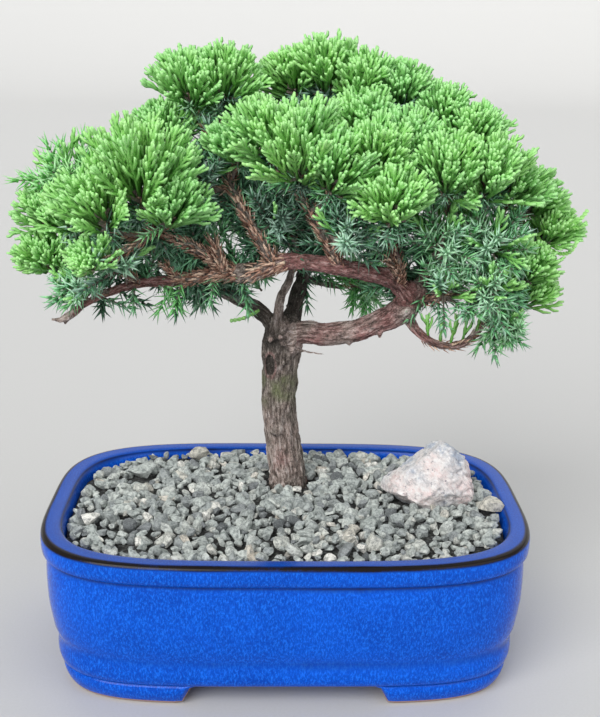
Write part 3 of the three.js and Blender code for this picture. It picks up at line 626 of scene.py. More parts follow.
def makeGravelBed(material):
    # the small stuff between the stones, with a rough top; its near-black colour is painted shade in the gaps
    bm = bmesh.new()
    sides, rows = gravelShape["bedSides"], gravelShape["bedRows"]
    trunkX, trunkY, trunkRadius = gravelShape["trunk"]

    def place(vert, u, v):
        share = (round(u * sides) % sides + 0.5) / sides
        edge = outlineAt(share, *gravelShape["bedEdge"])
        angle = 2 * pi * share
        hole = Vector((trunkX + trunkRadius * cos(angle), trunkY + trunkRadius * sin(angle), 0))
        spot = hole.lerp(edge, v ** 0.8)
        roughness = 0.8 * noise.noise(Vector((spot.x, spot.y, 0)) * 0.45)
        z = gravelHeight(spot.x, spot.y) - gravelShape["bedDepth"] + roughness
        if round(v * rows) in (0, rows):
            z -= 0.6
        vert.co = Vector((spot.x, spot.y, z))

    addSheet(bm, sides, rows, place)
    wall = bmesh.ops.extrude_edge_only(bm, edges=[e for e in bm.edges if e.is_boundary])
    for part in wall["geom"]:
        if isinstance(part, bmesh.types.BMVert):
            part.co.z = gravelShape["bedBottom"]
    bmesh.ops.bridge_loops(bm, edges=[e for e in bm.edges if e.is_boundary])
    bmesh.ops.recalc_face_normals(bm, faces=bm.faces)
    finishPiece("gravelBed", bm, [material], ["gravel"]).data.shade_smooth()


stoneLook = {
    "base": "tint",
    "stops": [
        (0.0, (0.1, 0.11, 0.115)),
        (0.04, (0.23, 0.245, 0.255)),
        (0.16, (0.35, 0.38, 0.375)),
        (0.5, (0.45, 0.49, 0.47)),
        (0.84, (0.55, 0.58, 0.55)),
        (0.93, (0.6, 0.6, 0.55)),
        (0.955, (0.57, 0.51, 0.43)),
        (0.985, (0.8, 0.79, 0.74)),
    ],
    "layers": [
        ((0.06, 0.07, 0.075), (620, 5, 0.75), 0.56, 0.4, 0.66),
        ((0.74, 0.78, 0.78), (2100, 3, 0.7), 0.55, 0.75, 0.45),
    ],
    "roughness": 0.85,
    "grain": (620, 5, 0.75),
    "bump": (0.6, 0.0006),
}

# painted shade: the bed under the stones is coloured near black, for the shade in the gaps
gritAndGapShadeLook = {
    "base": 620,
    "stops": [(0.0, (0.13, 0.14, 0.14)), (0.35, (0.06, 0.062, 0.06)), (0.7, (0.02, 0.02, 0.02))],
    "roughness": 0.95,
    "bump": (0.8, 0.0012),
}

makeGravelBed(makeLook("gravelGritAndGapShade", gritAndGapShadeLook))
makeGravel(makeLook("gravelStone", stoneLook))
print("gravel done")


# Rock

rockShape = {
    "middle": (62.2, 2.2, 73.8),
    "halfSize": (19.4, 14.5, 16.4),
    "cuts": [
        (0, 0, -1, 0.86),
        (-0.66, 0.0, 0.75, 0.55),
        (-0.22, -0.82, 0.52, 0.64),
        (0.45, -0.85, 0.25, 0.76),
        (0.97, -0.1, 0.22, 0.88),
        (0.62, 0.1, 0.8, 0.94),
        (0.6, 0.6, 0.5, 0.8),
        (-0.5, 0.75, 0.4, 0.68),
        (-0.55, -0.35, -0.78, 0.8),
        (0.1, 0.95, -0.2, 0.8),
        (0.3, -0.85, -0.45, 0.84),
        (-0.2, -0.45, 0.87, 0.82),
        (-0.95, -0.25, 0.1, 0.9),
    ],
    "flatness": 0.93,
    "base": 0.965,
    "lumps": 0.04,
    "chips": 0.075,
    "grain": 0.018,
    "slantingMarks": 0.022,
}


def rockRelief(point):
    # how far the surface stands out at a point of the rock, as a share of its size
    lumps = noise.fractal(point * 2.6, 1.0, 2.1, 5)
    chips = noise.voronoi(point * 3.4)[0][0]
    grain = noise.fractal(point * 11, 0.9, 2.0, 3)
    pits = max(0, noise.noise(point * 8 + Vector((4, 0, 0))) - 0.25) * (0.12 + 0.3 * max(0, point.x))
    slanted = Vector((point.x * 9 + point.z * 6, point.y * 9, point.z * 9 - point.x * 6))
    marks = noise.noise(slanted * 0.6 + point * 1.5)
    relief = rockShape["base"] + rockShape["lumps"] * lumps + rockShape["chips"] * chips
    return relief + rockShape["grain"] * grain + rockShape["slantingMarks"] * marks - pits


def makeRock(material):
    bm = bmesh.new()
    bmesh.ops.create_icosphere(bm, subdivisions=6, radius=1.12)
    middle, halfSize = Vector(rockShape["middle"]), Vector(rockShape["halfSize"])
    cuts = [(Vector(cut[:3]).normalized(), cut[3]) for cut in rockShape["cuts"]]
    for vert in bm.verts:
        point = vert.co.copy()
        for normal, distance in cuts:
            over = point.dot(normal) - distance
            if over > 0:
                point -= normal * over * rockShape["flatness"]
        point *= rockRelief(point)
        vert.co = middle + point * halfSize
    finishPiece("graniteRock", bm, [material], ["rock"]).data.shade_smooth()


graniteLook = {
    "clouds": [
        (0.38, (0.38, 0.43, 0.52)),
        (0.45, (0.58, 0.57, 0.59)),
        (0.54, (0.72, 0.66, 0.65)),
        (0.63, (0.76, 0.62, 0.61)),
    ],
    "veinSlant": (0, 0.72, 0),
    "veinStretch": (1, 1, 0.36),
    "paleVeins": (0.86, 0.85, 0.85),
    "darkVeins": (0.22, 0.22, 0.25),
    "flecks": (0.13, 0.13, 0.16),
}


def makeGraniteLook():
    material, tree, shader = newMaterial("pinkGranite")
    colour = rampOf(tree, noiseOn(tree, 75, 4, 0.6), graniteLook["clouds"])
    # the veins run down to the right: turned first, then drawn out
    slant, drawn = tree.nodes.new("ShaderNodeMapping"), tree.nodes.new("ShaderNodeMapping")
    slant.inputs["Rotation"].default_value = graniteLook["veinSlant"]
    drawn.inputs["Scale"].default_value = graniteLook["veinStretch"]
    tree.links.new(objectPlace(tree), slant.inputs["Vector"])
    tree.links.new(slant.outputs["Vector"], drawn.inputs["Vector"])
    veins = noiseAt(tree, drawn.outputs["Vector"], 620, 6, 0.8, 0.3)
    colour = laidOver(tree, colour, graniteLook["paleVeins"], veins, 0.51, 0.57, 0.7)
    colour = laidOver(tree, colour, graniteLook["darkVeins"], veins, 0.46, 0.38, 0.65)
    colour = laidOver(tree, colour, graniteLook["flecks"], noiseOn(tree, 430, 4, 0.65), 0.62, 0.68, 0.8)
    finishLook(tree, shader, colour, 0.8, noiseOn(tree, 520, 6, 0.75), 0.8, 0.0012)
    return material


makeRock(makeGraniteLook())
print("rock done")


# Wood

# route points of each limb: x, y, z and radius
limbs = {
    "trunk": [
        (1, 20, 30, 6.4), (1, 20, 44, 7.4), (1, 20, 59, 8.6), (1, 20, 68, 8.1), (-1, 20, 82, 7.4),
        (-3, 20, 98, 7.2), (-3, 20, 114, 7.7), (-2, 20, 128, 8.7), (-1, 20, 137, 7.6),
        (-1, 21, 142, 4.4),
    ],
    "rightLimb": [
        (-1, 20, 131, 5.0), (8, 15, 135, 5.1), (18, 9, 136, 4.7), (29, 4, 139, 4.8), (38, 0, 144, 5.0),
        (46, -2, 149, 5.4), (52, -2, 155, 5.2), (55, -1, 160, 3.0),
    ],
    "crossBranch": [
        (51, -2, 153, 4.4), (46, -5, 160, 3.9), (39, -9, 165, 3.6), (29, -12, 168, 3.4),
        (20, -14, 170, 3.3), (9, -15, 172, 3.2), (0, -14, 172, 3.2), (-9, -12, 169, 3.3),
        (-17, -10, 166, 3.4), (-27, -8, 166, 3.2), (-36, -7, 164, 2.8), (-47, -6, 162, 2.3),
        (-60, -6, 161, 2.1), (-72, -5, 157, 1.9), (-82, -4, 152, 1.6), (-89, -3, 147, 1.3),
    ],
    "leftLimb": [
        (-3, 20, 134, 3.6), (-13, 21, 144, 3.3), (-20, 20, 148, 2.9), (-27, 18, 152, 2.6),
        (-34, 15, 156, 2.4), (-44, 14, 163, 2.2), (-57, 16, 170, 2.0), (-70, 18, 175, 1.7),
    ],
    "leader": [
        (1, 22, 134, 4.4), (4, 26, 147, 3.3), (7, 29, 157, 2.9), (9, 31, 169, 2.8), (12, 32, 185, 2.6),
        (14, 31, 202, 2.3), (14, 28, 218, 1.8),
    ],
    "thinStem": [
        (-4, 17, 136, 2.6), (-3, 13, 150, 2.0), (1, 9, 160, 1.8), (3, 4, 172, 1.5), (2, -1, 180, 1.3),
    ],
    "backLow": [(7, 29, 156, 2.0), (15, 37, 152, 1.7), (24, 43, 149, 1.4)],
    "rightRise": [
        (51, -2, 153, 4.0), (56, 2, 161, 3.4), (63, 5, 169, 2.9), (72, 7, 176, 2.5), (83, 7, 181, 2.1),
        (92, 5, 182, 1.7),
    ],
    "rightTwig": [(50, -2, 153, 2.6), (58, -5, 155, 1.8), (65, -8, 157, 1.4)],
    "droopTwig": [
        (48, -2, 150, 3.0), (53, -5, 142, 2.0), (60, -7, 137, 1.7), (68, -8, 136, 1.6),
        (75, -8, 139, 1.5), (80, -7, 145, 1.4),
    ],
    "leftRise": [
        (-21, -9, 166, 2.6), (-31, -12, 173, 2.2), (-38, -16, 178, 2.0), (-45, -19, 182, 1.7),
        (-52, -21, 185, 1.5),
    ],
    "midRise": [
        (-5, -13, 170, 2.6), (-11, -13, 180, 2.2), (-17, -11, 190, 2.0), (-22, -7, 199, 1.8),
        (-27, -2, 210, 1.6), (-31, 3, 219, 1.4),
    ],
    "frontRise": [(21, -14, 169, 2.6), (16, -16, 179, 2.1), (11, -17, 188, 1.8), (7, -17, 195, 1.5)],
    "rightFront": [(44, -6, 161, 2.8), (44, -10, 169, 2.2), (42, -14, 177, 1.9), (40, -17, 183, 1.6)],
    "leaderLeft": [(13, 31, 190, 2.0), (3, 32, 199, 1.8), (-10, 29, 206, 1.7), (-24, 22, 211, 1.5)],
    "leaderRight": [
        (13, 31, 194, 2.1), (25, 28, 202, 1.9), (38, 22, 209, 1.7), (51, 15, 212, 1.6),
        (64, 10, 211, 1.4),
    ],
    "backLeft": [(11, 31, 178, 2.1), (-2, 41, 182, 1.8), (-20, 46, 185, 1.6), (-38, 46, 186, 1.4)],
    "backRight": [
        (12, 31, 182, 2.1), (26, 41, 184, 1.8), (44, 45, 185, 1.6), (62, 45, 185, 1.5),
        (76, 43, 185, 1.3),
    ],
}

woodShape = {
    "step": 0.9,
    "voxel": 0.68,
    "fissures": 0.17,
    "flakes": 0.1,
    "swellings": 0.07,
    "plates": 0.36,
    "plateStretch": 0.26,
    "platesApart": 13,
    "crackDepth": 0.42,
    "stubs": [(-7.1, 9.2, 133.4), (-2.6, 8.8, 134.4), (24, 0.2, 138.2)],
    "splinter": (10, 11.5, 126.5),
    "tornFrom": -88,
    "scar": (-7.4, 13.2, 120.7),
}

# swellings and pruned stubs: place, radius, height of 1, direction
knots = [
    (-4.5, 13.2, 92, 3.6, 0.55, (-0.3, -1, 0)),
    (-2.5, 12.6, 124, 3.4, 0.6, (-0.1, -1, 0.1)),
    (-6.8, 11.6, 133.2, 1.8, 1.4, (-0.2, -1, 0.1)),
    (-2.8, 11.0, 134.2, 1.5, 1.5, (0.1, -1, 0.1)),
    (1, 13, 125.5, 2.4, 0.9, (0.1, -1, 0.1)),
    (23, 1.4, 138, 1.5, 1.2, (0.1, -1, 0.2)),
    (46, -7.2, 150, 1.6, 1.2, (0.1, -1, 0)),
    (50, -7.0, 156, 1.4, 1.2, (0.1, -1, 0)),
    (48, -4, 151, 6.2, 0.9, (0, 0, 1)),
    (52, -3, 158, 5.0, 0.9, (0, 0, 1)),
    (-19, -10, 166.5, 4.4, 0.8, (1, 0, 0)),
    (-5, 19, 138, 4.6, 0.9, (0, 0, 1)),
    (38, -2.5, 140, 1.4, 1.8, (0.2, -0.3, -1)),
    (26, 3, 134.6, 1.1, 2.2, (0.2, -0.3, -1)),
    (41, -9, 167, 3.2, 0.9, (1, 0, 0)),
]

# the torn end of the long branch and a thin splinter under the fork: route and radii
tornEnds = [
    ([(-86, -3, 149), (-90, -3.2, 146.2), (-93.5, -3.6, 144.6), (-97, -4.4, 145.2)], (1.7, 1.9, 1.2, 0.5)),
    ([(-88, -3, 148), (-90.5, -2.6, 145.4), (-91.6, -2.4, 142.6)], (1.6, 1.4, 0.5)),
    ([(5, 13.5, 127.8), (10, 11.2, 127.5), (15.8, 9, 127.2)], (0.7, 0.55, 0.45)),
]

# how maroon, how pale and how blackened the bark of each limb is
limbBark = {
    "trunk": (0.15, 0.45, 0.15),
    "rightLimb": (0.55, 0.85, 0.0),
    "crossBranch": (0.95, 0.25, 0.15),
    "leftLimb": (0.3, 0.25, 0.35),
    "leader": (0.1, 0.0, 0.9),
    "thinStem": (0.45, 0.55, 0.1),
    "rightRise": (0.6, 0.3, 0.1),
    "rightTwig": (0.8, 0.3, 0.1),
    "droopTwig": (0.6, 0.7, 0.0),
}


def routeAt(route, place):
    # a smooth line through the route's points, with its radius
    k = min(int(place), len(route) - 2)
    t = place - k
    near = [route[min(max(j, 0), len(route) - 1)] for j in range(k - 1, k + 3)]
    before, start, end, after = (Vector(point[:3]) for point in near)
    point = 0.5 * (2 * start + (end - before) * t + (2 * before - 5 * start + 4 * end - after) * t * t
                   + (3 * start - before - 3 * end + after) * t ** 3)
    return point, route[k][3] + (route[k + 1][3] - route[k][3]) * t


def smoothRoute(route, count):
    return [routeAt(route, (len(route) - 1) * k / count) for k in range(count + 1)]


def spineOf(route):
    length = sum((Vector(a[:3]) - Vector(b[:3])).length for a, b in zip(route, route[1:]))
    return smoothRoute(route, max(int(length / woodShape["step"]), 4))


spines = {name: spineOf(route) for name, route in limbs.items()}


def addLimb(bm, name, seed):
    spine = spines[name]
    widest = max(radius for _, radius in spine)
    sides = max(10, min(56, round(2 * pi * widest / 0.85)))

    def widthAt(k, column):
        angle = 2 * pi * column / sides
        radius = spine[k][1]
        along = k * woodShape["step"]
        around = Vector((cos(angle), sin(angle), 0)) * (0.34 * radius)
        strands = around + Vector((0, 0, along * 0.045 + seed * 7))
        grain = noise.ridged_multi_fractal(strands, 0.9, 2.1, 3, 1, 2)
        flake = noise.noise(around * 2.4 + Vector((3, 5, along * 0.16 + seed)))
        swell = noise.noise(Vector((seed * 3.3, 1.7, along * 0.05)))
        sink = woodShape["fissures"] * (grain - 1.1)
        return radius * (1 + sink + woodShape["flakes"] * flake + woodShape["swellings"] * swell)

    addTube(bm, [point for point, _ in spine], sides, widthAt)


def addKnot(bm, x, y, z, radius, flat, direction):
    turn = turnedTo(Vector(direction).normalized(), 0)
    place = Matrix.Translation((x, y, z)) @ turn @ Matrix.Diagonal((1, 1, flat, 1))
    bmesh.ops.create_uvsphere(bm, u_segments=18, v_segments=12, radius=radius, matrix=place)


def makeSkin():
    # all limbs, knots and torn ends grown together
    bm = bmesh.new()
    for seed, name in enumerate(limbs):
        addLimb(bm, name, seed)
    for knot in knots:
        addKnot(bm, *knot)
    for route, widths in tornEnds:
        addTube(bm, [Vector(point) for point in route], 8, lambda k, column: widths[k])
    return fusedMesh(bm, woodShape["voxel"])


def findSpines():
    # a search tree of all points on the limbs' middle lines, and what each one belongs to
    owners = []
    for seed, (name, spine) in enumerate(spines.items()):
        frames = framesAlong([point for point, _ in spine])
        for k, (point, radius) in enumerate(spine):
            owners.append((name, seed, k * woodShape["step"], point, radius, frames[k]))
    tree = kdtree.KDTree(len(owners))
    for index, owner in enumerate(owners):
        tree.insert(owner[3], index)
    tree.balance()
    return tree, owners


def barkShares(name, co):
    # how maroon, pale and blackened the bark is at a place on a limb
    red, pale, black = limbBark.get(name, (0.35, 0.15, 0.25))
    if name == "trunk":
        # painted shade: the pale bark is taken back on the right side of the lower trunk
        rightSideShade = 0.35 * bandOf(co.x, 2, 7) * (1 - bandOf(co.z, 84, 94))
        pale = 0.42 * (1 - bandOf(co.z, 84, 112)) + 0.2 - rightSideShade
        red = 0.16 * (1 - bandOf(co.z, 70, 96)) + 0.14
        black = 0.6 * bandOf(co.z, 122, 136)
    if co.z > 124 and co.x < 4 and name != "crossBranch":
        # the dark fork
        red *= 1 - bandOf(co.x, 9, 3)
        black += 0.55 * bandOf(co.z, 124, 131) * (1 - bandOf(co.z, 140, 150)) * bandOf(co.x, 4, 0)
    if name == "crossBranch":
        red *= 1 - 0.6 * bandOf(co.x, 2, -14) * bandOf(co.x, -58, -40)
    return red, pale, black


def carveBark(bm):
    # long plates of bark with sunk cracks between them, and the numbers that colour them
    keys = ("red", "pale", "black", "moss", "deep")
    red, pale, black, moss, deep = (bm.verts.layers.float.new(key) for key in keys)
    grainPlace = bm.verts.layers.float_vector.new("grainPlace")
    tree, owners = findSpines()
    stubs, splinter = [Vector(stub) for stub in woodShape["stubs"]], Vector(woodShape["splinter"])
    for vert in bm.verts:
        co = vert.co.copy()
        _, index, distance = min(tree.find_n(co, 7), key=lambda found: found[2] / owners[found[1]][4])
        name, seed, along, point, radius, (ahead, side, other) = owners[index]
        redShare, paleShare, blackShare = barkShares(name, co)
        vert[red] = redShare + 0.5 * noise.noise(co * 0.11)
        vert[pale] = paleShare + 0.5 * noise.noise(co * 0.17 + Vector((9, 0, 0)))
        vert[black] = blackShare + 0.4 * noise.noise(co * 0.2)
        if name == "trunk":
            mossy = max(0, 0.45 + 1.6 * noise.noise(co * 0.19))
            vert[moss] = bandOf(co.z, 98, 106) * (1 - bandOf(co.z, 114, 122)) * mossy
        offset = co - point
        drawn = woodShape["plateStretch"] * (along + offset.dot(ahead)) + woodShape["platesApart"] * seed
        place = Vector((offset.dot(side), offset.dot(other), drawn))
        vert[grainPlace] = place
        ragged = Vector((1, 1, 0)) * 0.35 * noise.noise(place * 0.8)
        nearest = noise.voronoi(place * woodShape["plates"] + ragged)[0]
        crack = 1 - bandOf(nearest[1] - nearest[0], 0.04, 0.26)
        relief = 0.3 * noise.noise(place * 0.8 + Vector((5, 0, 0))) + 0.18 * noise.noise(co * 1.3)
        vert.co += vert.normal * (relief - woodShape["crackDepth"] * crack) * min(1, radius / 3.5)
        vert[deep] = crack * (0.6 + 0.4 * noise.noise(place * 0.4))
        # bare wood on the torn end, the splinter and the cut faces of the stubs
        if co.x < woodShape["tornFrom"] or (co - splinter).length < 8 and distance > radius * 1.3:
            vert[red], vert[pale], vert[black], vert[deep] = 0, 1.6, 0, 0
        if any((co - stub).length < 1.4 for stub in stubs):
            vert[red], vert[pale], vert[black], vert[deep] = 0.45, 1.6, -0.5, 0


def carveScar(bm):
    # an old wound on the trunk: a sunk dark middle with a raised lip
    red, pale, black = (bm.verts.layers.float[key] for key in ("red", "pale", "black"))
    x, y, z = woodShape["scar"]
    for vert in bm.verts:
        away = Vector((vert.co.x - x, vert.co.y - y, 0.5 * (vert.co.z - z))).length
        if away < 3.8:
            vert.co.y += 1.9 * bandOf(away, 2.7, 1.4) - 0.8 * bandOf(away, 2.0, 2.8) * bandOf(away, 3.8, 3.0)
            inner, lip = bandOf(away, 2.6, 2.1), bandOf(away, 2.1, 2.6) * bandOf(away, 3.7, 3.1)
            vert[black] = 1.6 * inner + vert[black] * (1 - inner) * (1 - lip)
            vert[red], vert[pale] = max(vert[red], 0.62 * lip), max(vert[pale], 0.8 * lip)


def makeWood(material):
    bm = makeSkin()
    bm.normal_update()
    carveBark(bm)
    carveScar(bm)
    finishPiece("juniperWood", bm, [material], ["tree_wood"]).data.shade_smooth()


barkLook = {
    "plain": [
        (0.38, (0.03, 0.023, 0.019)),
        (0.46, (0.13, 0.105, 0.09)),
        (0.53, (0.27, 0.225, 0.195)),
        (0.62, (0.52, 0.46, 0.42)),
    ],
    "pale": [
        (0.37, (0.07, 0.046, 0.038)),
        (0.45, (0.31, 0.235, 0.205)),
        (0.53, (0.51, 0.41, 0.375)),
        (0.63, (0.78, 0.69, 0.66)),
    ],
    "red": [
        (0.38, (0.06, 0.026, 0.024)),
        (0.47, (0.23, 0.09, 0.085)),
        (0.55, (0.43, 0.21, 0.2)),
        (0.65, (0.68, 0.5, 0.48)),
    ],
    "blackened": (0.02, 0.017, 0.014),
    "moss": (0.17, 0.2, 0.09),
    "cracks": (0.022, 0.015, 0.012),
    "fibres": (0.66, 0.58, 0.53),
    "specks": (0.055, 0.04, 0.032),
}


def makeBarkLook():
    material, tree, shader = newMaterial("flakyBark")
    place = attributeOf(tree, "grainPlace", "Vector")
    grain, fine = noiseAt(tree, place, 0.9, 6, 0.75), noiseAt(tree, place, 2.6, 4, 0.7)
    plain, paleBark, redBark = (rampOf(tree, grain, barkLook[kind]) for kind in ("plain", "pale", "red"))
    colour = laidOver(tree, plain, paleBark, attributeOf(tree, "pale"), 0.25, 0.75)
    colour = laidOver(tree, colour, redBark, attributeOf(tree, "red"), 0.35, 0.8)
    colour = laidOver(tree, colour, barkLook["blackened"], attributeOf(tree, "black"), 0.3, 1.0, 0.88)
    colour = mixed(tree, scaled(tree, attributeOf(tree, "moss"), 0.55), colour, barkLook["moss"])
    crack = mathOf(tree, "MULTIPLY", greyRamp(tree, attributeOf(tree, "deep"), 0.25, 0.85),
                   greyRamp(tree, fine, 0.38, 0.5))
    colour = mixed(tree, scaled(tree, crack, 0.85), colour, barkLook["cracks"])
    colour = laidOver(tree, colour, barkLook["fibres"], fine, 0.56, 0.66, 0.4)
    colour = laidOver(tree, colour, barkLook["specks"], noiseOn(tree, 820, 5, 0.75), 0.48, 0.4, 0.6)
    finishLook(tree, shader, colour, 0.88, mathOf(tree, "ADD", grain, scaled(tree, fine, 0.5)), 1.0, 0.0013)
    return material


bark = makeBarkLook()
makeWood(bark)
print("wood done")


# Foliage

# kind, foot, tip, limb and tone of every spray: low is a warmer green, high a bluer one; on needles the
# highest tones also carry painted shade
sprays = {
    "leftFanHigh": ("shoots", (-57, -23, 192), (-52, -36, 229), "leftRise", 0.05),
    "leftFanLow": ("shoots", (-68, -26, 186), (-78, -35, 212), "leftRise", 0.0),
    "leftFanInner": ("shoots", (-48, -27, 187), (-35, -38, 206), "leftRise", 0.3),
    "leftFanSkirt": ("shoots", (-70, -30, 175), (-84, -38, 171), "leftRise", 0.1),
    "leftMid": ("shoots", (-83, -8, 182), (-94, -14, 201), "leftLimb", 0.1),
    "leftShoulder": ("needles", (-86, 9, 195), (-100, 3, 220), "leftLimb", -0.1),
    "leftTip": ("shoots", (-92, 7, 180), (-111, 3, 193), "leftLimb", 0.15),
    "leftLow": ("shoots", (-92, 4, 164), (-112, -2, 174), "crossBranch", 0.05),
    "leftUnder": ("needles", (-78, -11, 159), (-97, -18, 157), "crossBranch", 0.35),
    "leftUnderFront": ("needles", (-64, -15, 167), (-80, -30, 177), "crossBranch", 0.55),
    "domeLeft": ("shoots", (-38, 4, 229), (-44, -2, 254), "midRise", 0.3),
    "domeRight": ("shoots", (-27, 6, 230), (-23, 2, 256), "midRise", 0.3),
    "shoulderLeft": ("shoots", (-47, 6, 213), (-59, 2, 231), "midRise", 0.3),
    "midNeedles": ("needles", (-33, -11, 200), (-37, -28, 216), "midRise", 0.65),
    "midTufts": ("shoots", (-21, -12, 209), (-20, -24, 226), "midRise", 0.3),
    "centreFanLeft": ("shoots", (-6, -19, 211), (-12, -29, 236), "frontRise", 0.0),
    "centreFanMid": ("shoots", (4, -23, 204), (2, -37, 236), "frontRise", 0.0),
    "centreFanRight": ("shoots", (15, -26, 200), (18, -41, 225), "frontRise", 0.3),
    "crownLeft": ("shoots", (4, 18, 233), (-4, 14, 254), "leader", 0.1),
    "crownTop": ("shoots", (15, 13, 234), (15, 8, 260), "leader", 0.05),
    "crownRight": ("shoots", (27, 8, 230), (33, 3, 254), "leader", 0.3),
    "frontHigh": ("shoots", (30, -4, 217), (26, -15, 238), "leaderRight", 0.3),
    "frontRight": ("shoots", (33, -21, 205), (31, -34, 229), "rightFront", 0.05),
    "frontRightHigh": ("shoots", (45, -13, 210), (45, -24, 231), "rightFront", 0.3),
    "frontFan": ("shoots", (39, -31, 190), (37, -49, 210), "rightFront", 0.0),
    "shoulderRight": ("shoots", (44, 9, 229), (45, 4, 250), "leaderRight", 0.3),
    "rightHigh": ("shoots", (59, 5, 221), (64, -2, 241), "leaderRight", 0.3),
    "rightFanBack": ("shoots", (70, -2, 212), (75, -11, 234), "rightRise", 0.3),
    "rightFanLeft": ("shoots", (61, -20, 199), (57, -36, 223), "rightRise", 0.1),
    "rightFanMid": ("shoots", (75, -18, 198), (78, -33, 222), "rightRise", 0.1),
    "rightFanRight": ("shoots", (86, -6, 195), (92, -14, 217), "rightRise", 0.3),
    "rightEdge": ("shoots", (96, 4, 188), (106, -1, 206), "rightRise", 0.3),
    "rightTip": ("shoots", (103, 8, 176), (121, 4, 189), "rightRise", 0.1),
    "lowRightHigh": ("shoots", (94, -7, 163), (107, -12, 177), "rightRise", 0.1),
    "lowRightTip": ("shoots", (94, 1, 152), (113, 0, 160), "droopTwig", 0.0),
    "rightNeedles": ("needles", (61, -15, 177), (52, -38, 193), "rightRise", 0.4),
    "rightNeedlesMid": ("needles", (80, -12, 177), (78, -36, 189), "rightRise", 0.35),
    "rightNeedlesLow": ("needles", (78, -14, 160), (86, -35, 167), "rightTwig", 0.4),
    "rightUnder": ("needles", (62, -16, 159), (57, -37, 168), "rightTwig", 0.35),
    "droopTuft": ("needles", (84, -10, 146), (97, -18, 142), "droopTwig", 0.2),
    "frontUnder": ("needles", (21, -23, 181), (18, -44, 193), "frontRise", 0.62),
    "innerDark": ("needles", (-4, -6, 184), (-11, -30, 196), "thinStem", 0.8),
    "backEdgeLeft": ("shoots", (-83, 30, 180), (-99, 42, 195), "leftLimb", 0.3),
    "backLeftMid": ("shoots", (-55, 46, 191), (-66, 62, 211), "backLeft", 0.3),
    "backLeftHigh": ("shoots", (-29, 37, 217), (-39, 49, 239), "leaderLeft", 0.3),
    "backLeftLow": ("needles", (-33, 59, 179), (-40, 84, 181), "backLeft", 0.3),
    "backMid": ("shoots", (-8, 57, 200), (-12, 76, 223), "backLeft", 0.3),
    "backCrown": ("shoots", (5, 42, 225), (3, 53, 249), "leader", 0.3),
    "backMidRight": ("shoots", (26, 58, 197), (28, 81, 215), "backRight", 0.3),
    "backRightHigh": ("shoots", (38, 38, 221), (44, 52, 242), "leaderRight", 0.3),
    "backRightMid": ("shoots", (62, 52, 196), (70, 71, 215), "backRight", 0.3),
    "backFarRight": ("shoots", (87, 40, 191), (103, 53, 202), "backRight", 0.3),
    "backTuft": ("needles", (30, 47, 149), (50, 55, 153), "backLow", 0.1),
}

leafShape = {
    "cordRadius": 0.88,
    "cordStep": 1.5,
    "sideShootGap": 3.5,
    "fingerLengths": (6.5, 9, 12, 15, 19, 23),
    "branchlets": 14,
    "fingersEach": 5,
    "needleTwigLengths": (6, 9.5, 13),
    "needleTwigs": 46,
    "needleLength": 6.8,
    "needleWidth": 0.98,
    "needleSlant": 52,
    "whorlGap": 2.0,
    "flatness": 0.45,
    "skirtTwigs": 18,
    "needleCap": -0.35,
    "shootCap": -0.12,
    "skirtCap": -0.6,
    "shapesSeed": 11,
    "dressingSeed": 23,
    "firstSeed": 101,
    "seedStep": 17,
}

# how many of a needle spray's twigs have already turned to scale-clad shoots
shootShare = {
    "rightNeedlesLow": 0.42, "rightUnder": 0.3, "rightNeedlesMid": 0.22, "droopTuft": 0.3, "leftUnder": 0.35,
    "leftUnderFront": 0.2, "leftShoulder": 0.5, "midNeedles": 0.18, "backLeftLow": 0.25,
}

# places in leafMaterials; the first one, 0, is the green of the shoots
needleSlot, bandSlot, drySlot, twigSlot = range(1, 5)


def curveThrough(start, bend, end, count):
    points = []
    for k in range(count + 1):
        t = k / count
        points.append(start.lerp(bend, t).lerp(bend.lerp(end, t), t))
    return points


def curveBetween(start, bend, end, step):
    return curveThrough(start, bend, end, max(3, round((end - start).length / step)))


def addCord(bm, points, sides, tipFrom, tipTo):
    # scale leaves in crossed pairs: each ring is wide where the next one is narrow
    last = len(points) - 1

    def widthAt(k, column):
        blunt = 0.74 if k == last else 0.9 + 0.2 * k / last
        return leafShape["cordRadius"] * blunt * (1.06 if (k + column) % 2 else 0.66)

    addTube(bm, points, sides, widthAt, tipFrom, tipTo)


def makeFinger(length, rnd):
    # one green shoot with its short side shoots, growing up from the origin
    bm = blankMesh("tip")
    lean = Vector((rnd.uniform(-1, 1), rnd.uniform(-1, 1), 0)) * 0.005

    def mainAt(along):
        return Vector((0, 0, along)) + lean * along * along

    # the foot of the shoot is hidden in the cluster, so its rings lie further apart
    steps = max(3, round(0.6 * length / leafShape["cordStep"]))
    shares = [0, 0.2] + [0.4 + 0.6 * k / steps for k in range(steps + 1)]
    addCord(bm, [mainAt(length * share) for share in shares], 4, 0.08, 1)
    count = max(2, round(length / leafShape["sideShootGap"]))
    for k in range(count):
        share = 0.2 + 0.7 * (k + rnd.uniform(0.1, 0.7)) / count
        start = mainAt(share * length)
        reach = min((1 - share) * length * 0.5 + rnd.uniform(1.6, 3.2), 7)
        slant = radians(rnd.uniform(32, 46))
        out = Vector(((1 if k % 2 else -1) * sin(slant), rnd.uniform(-0.34, 0.34), cos(slant))).normalized()
        bend = start + out * min(reach * 0.5, 2.6)
        end = bend + (out + Vector((0, 0, 1.9))).normalized() * (reach - (bend - start).length)
        addCord(bm, curveThrough(start, bend, end, 3), 3, share * 0.8, 1)
    return shapeFrom("finger", bm)


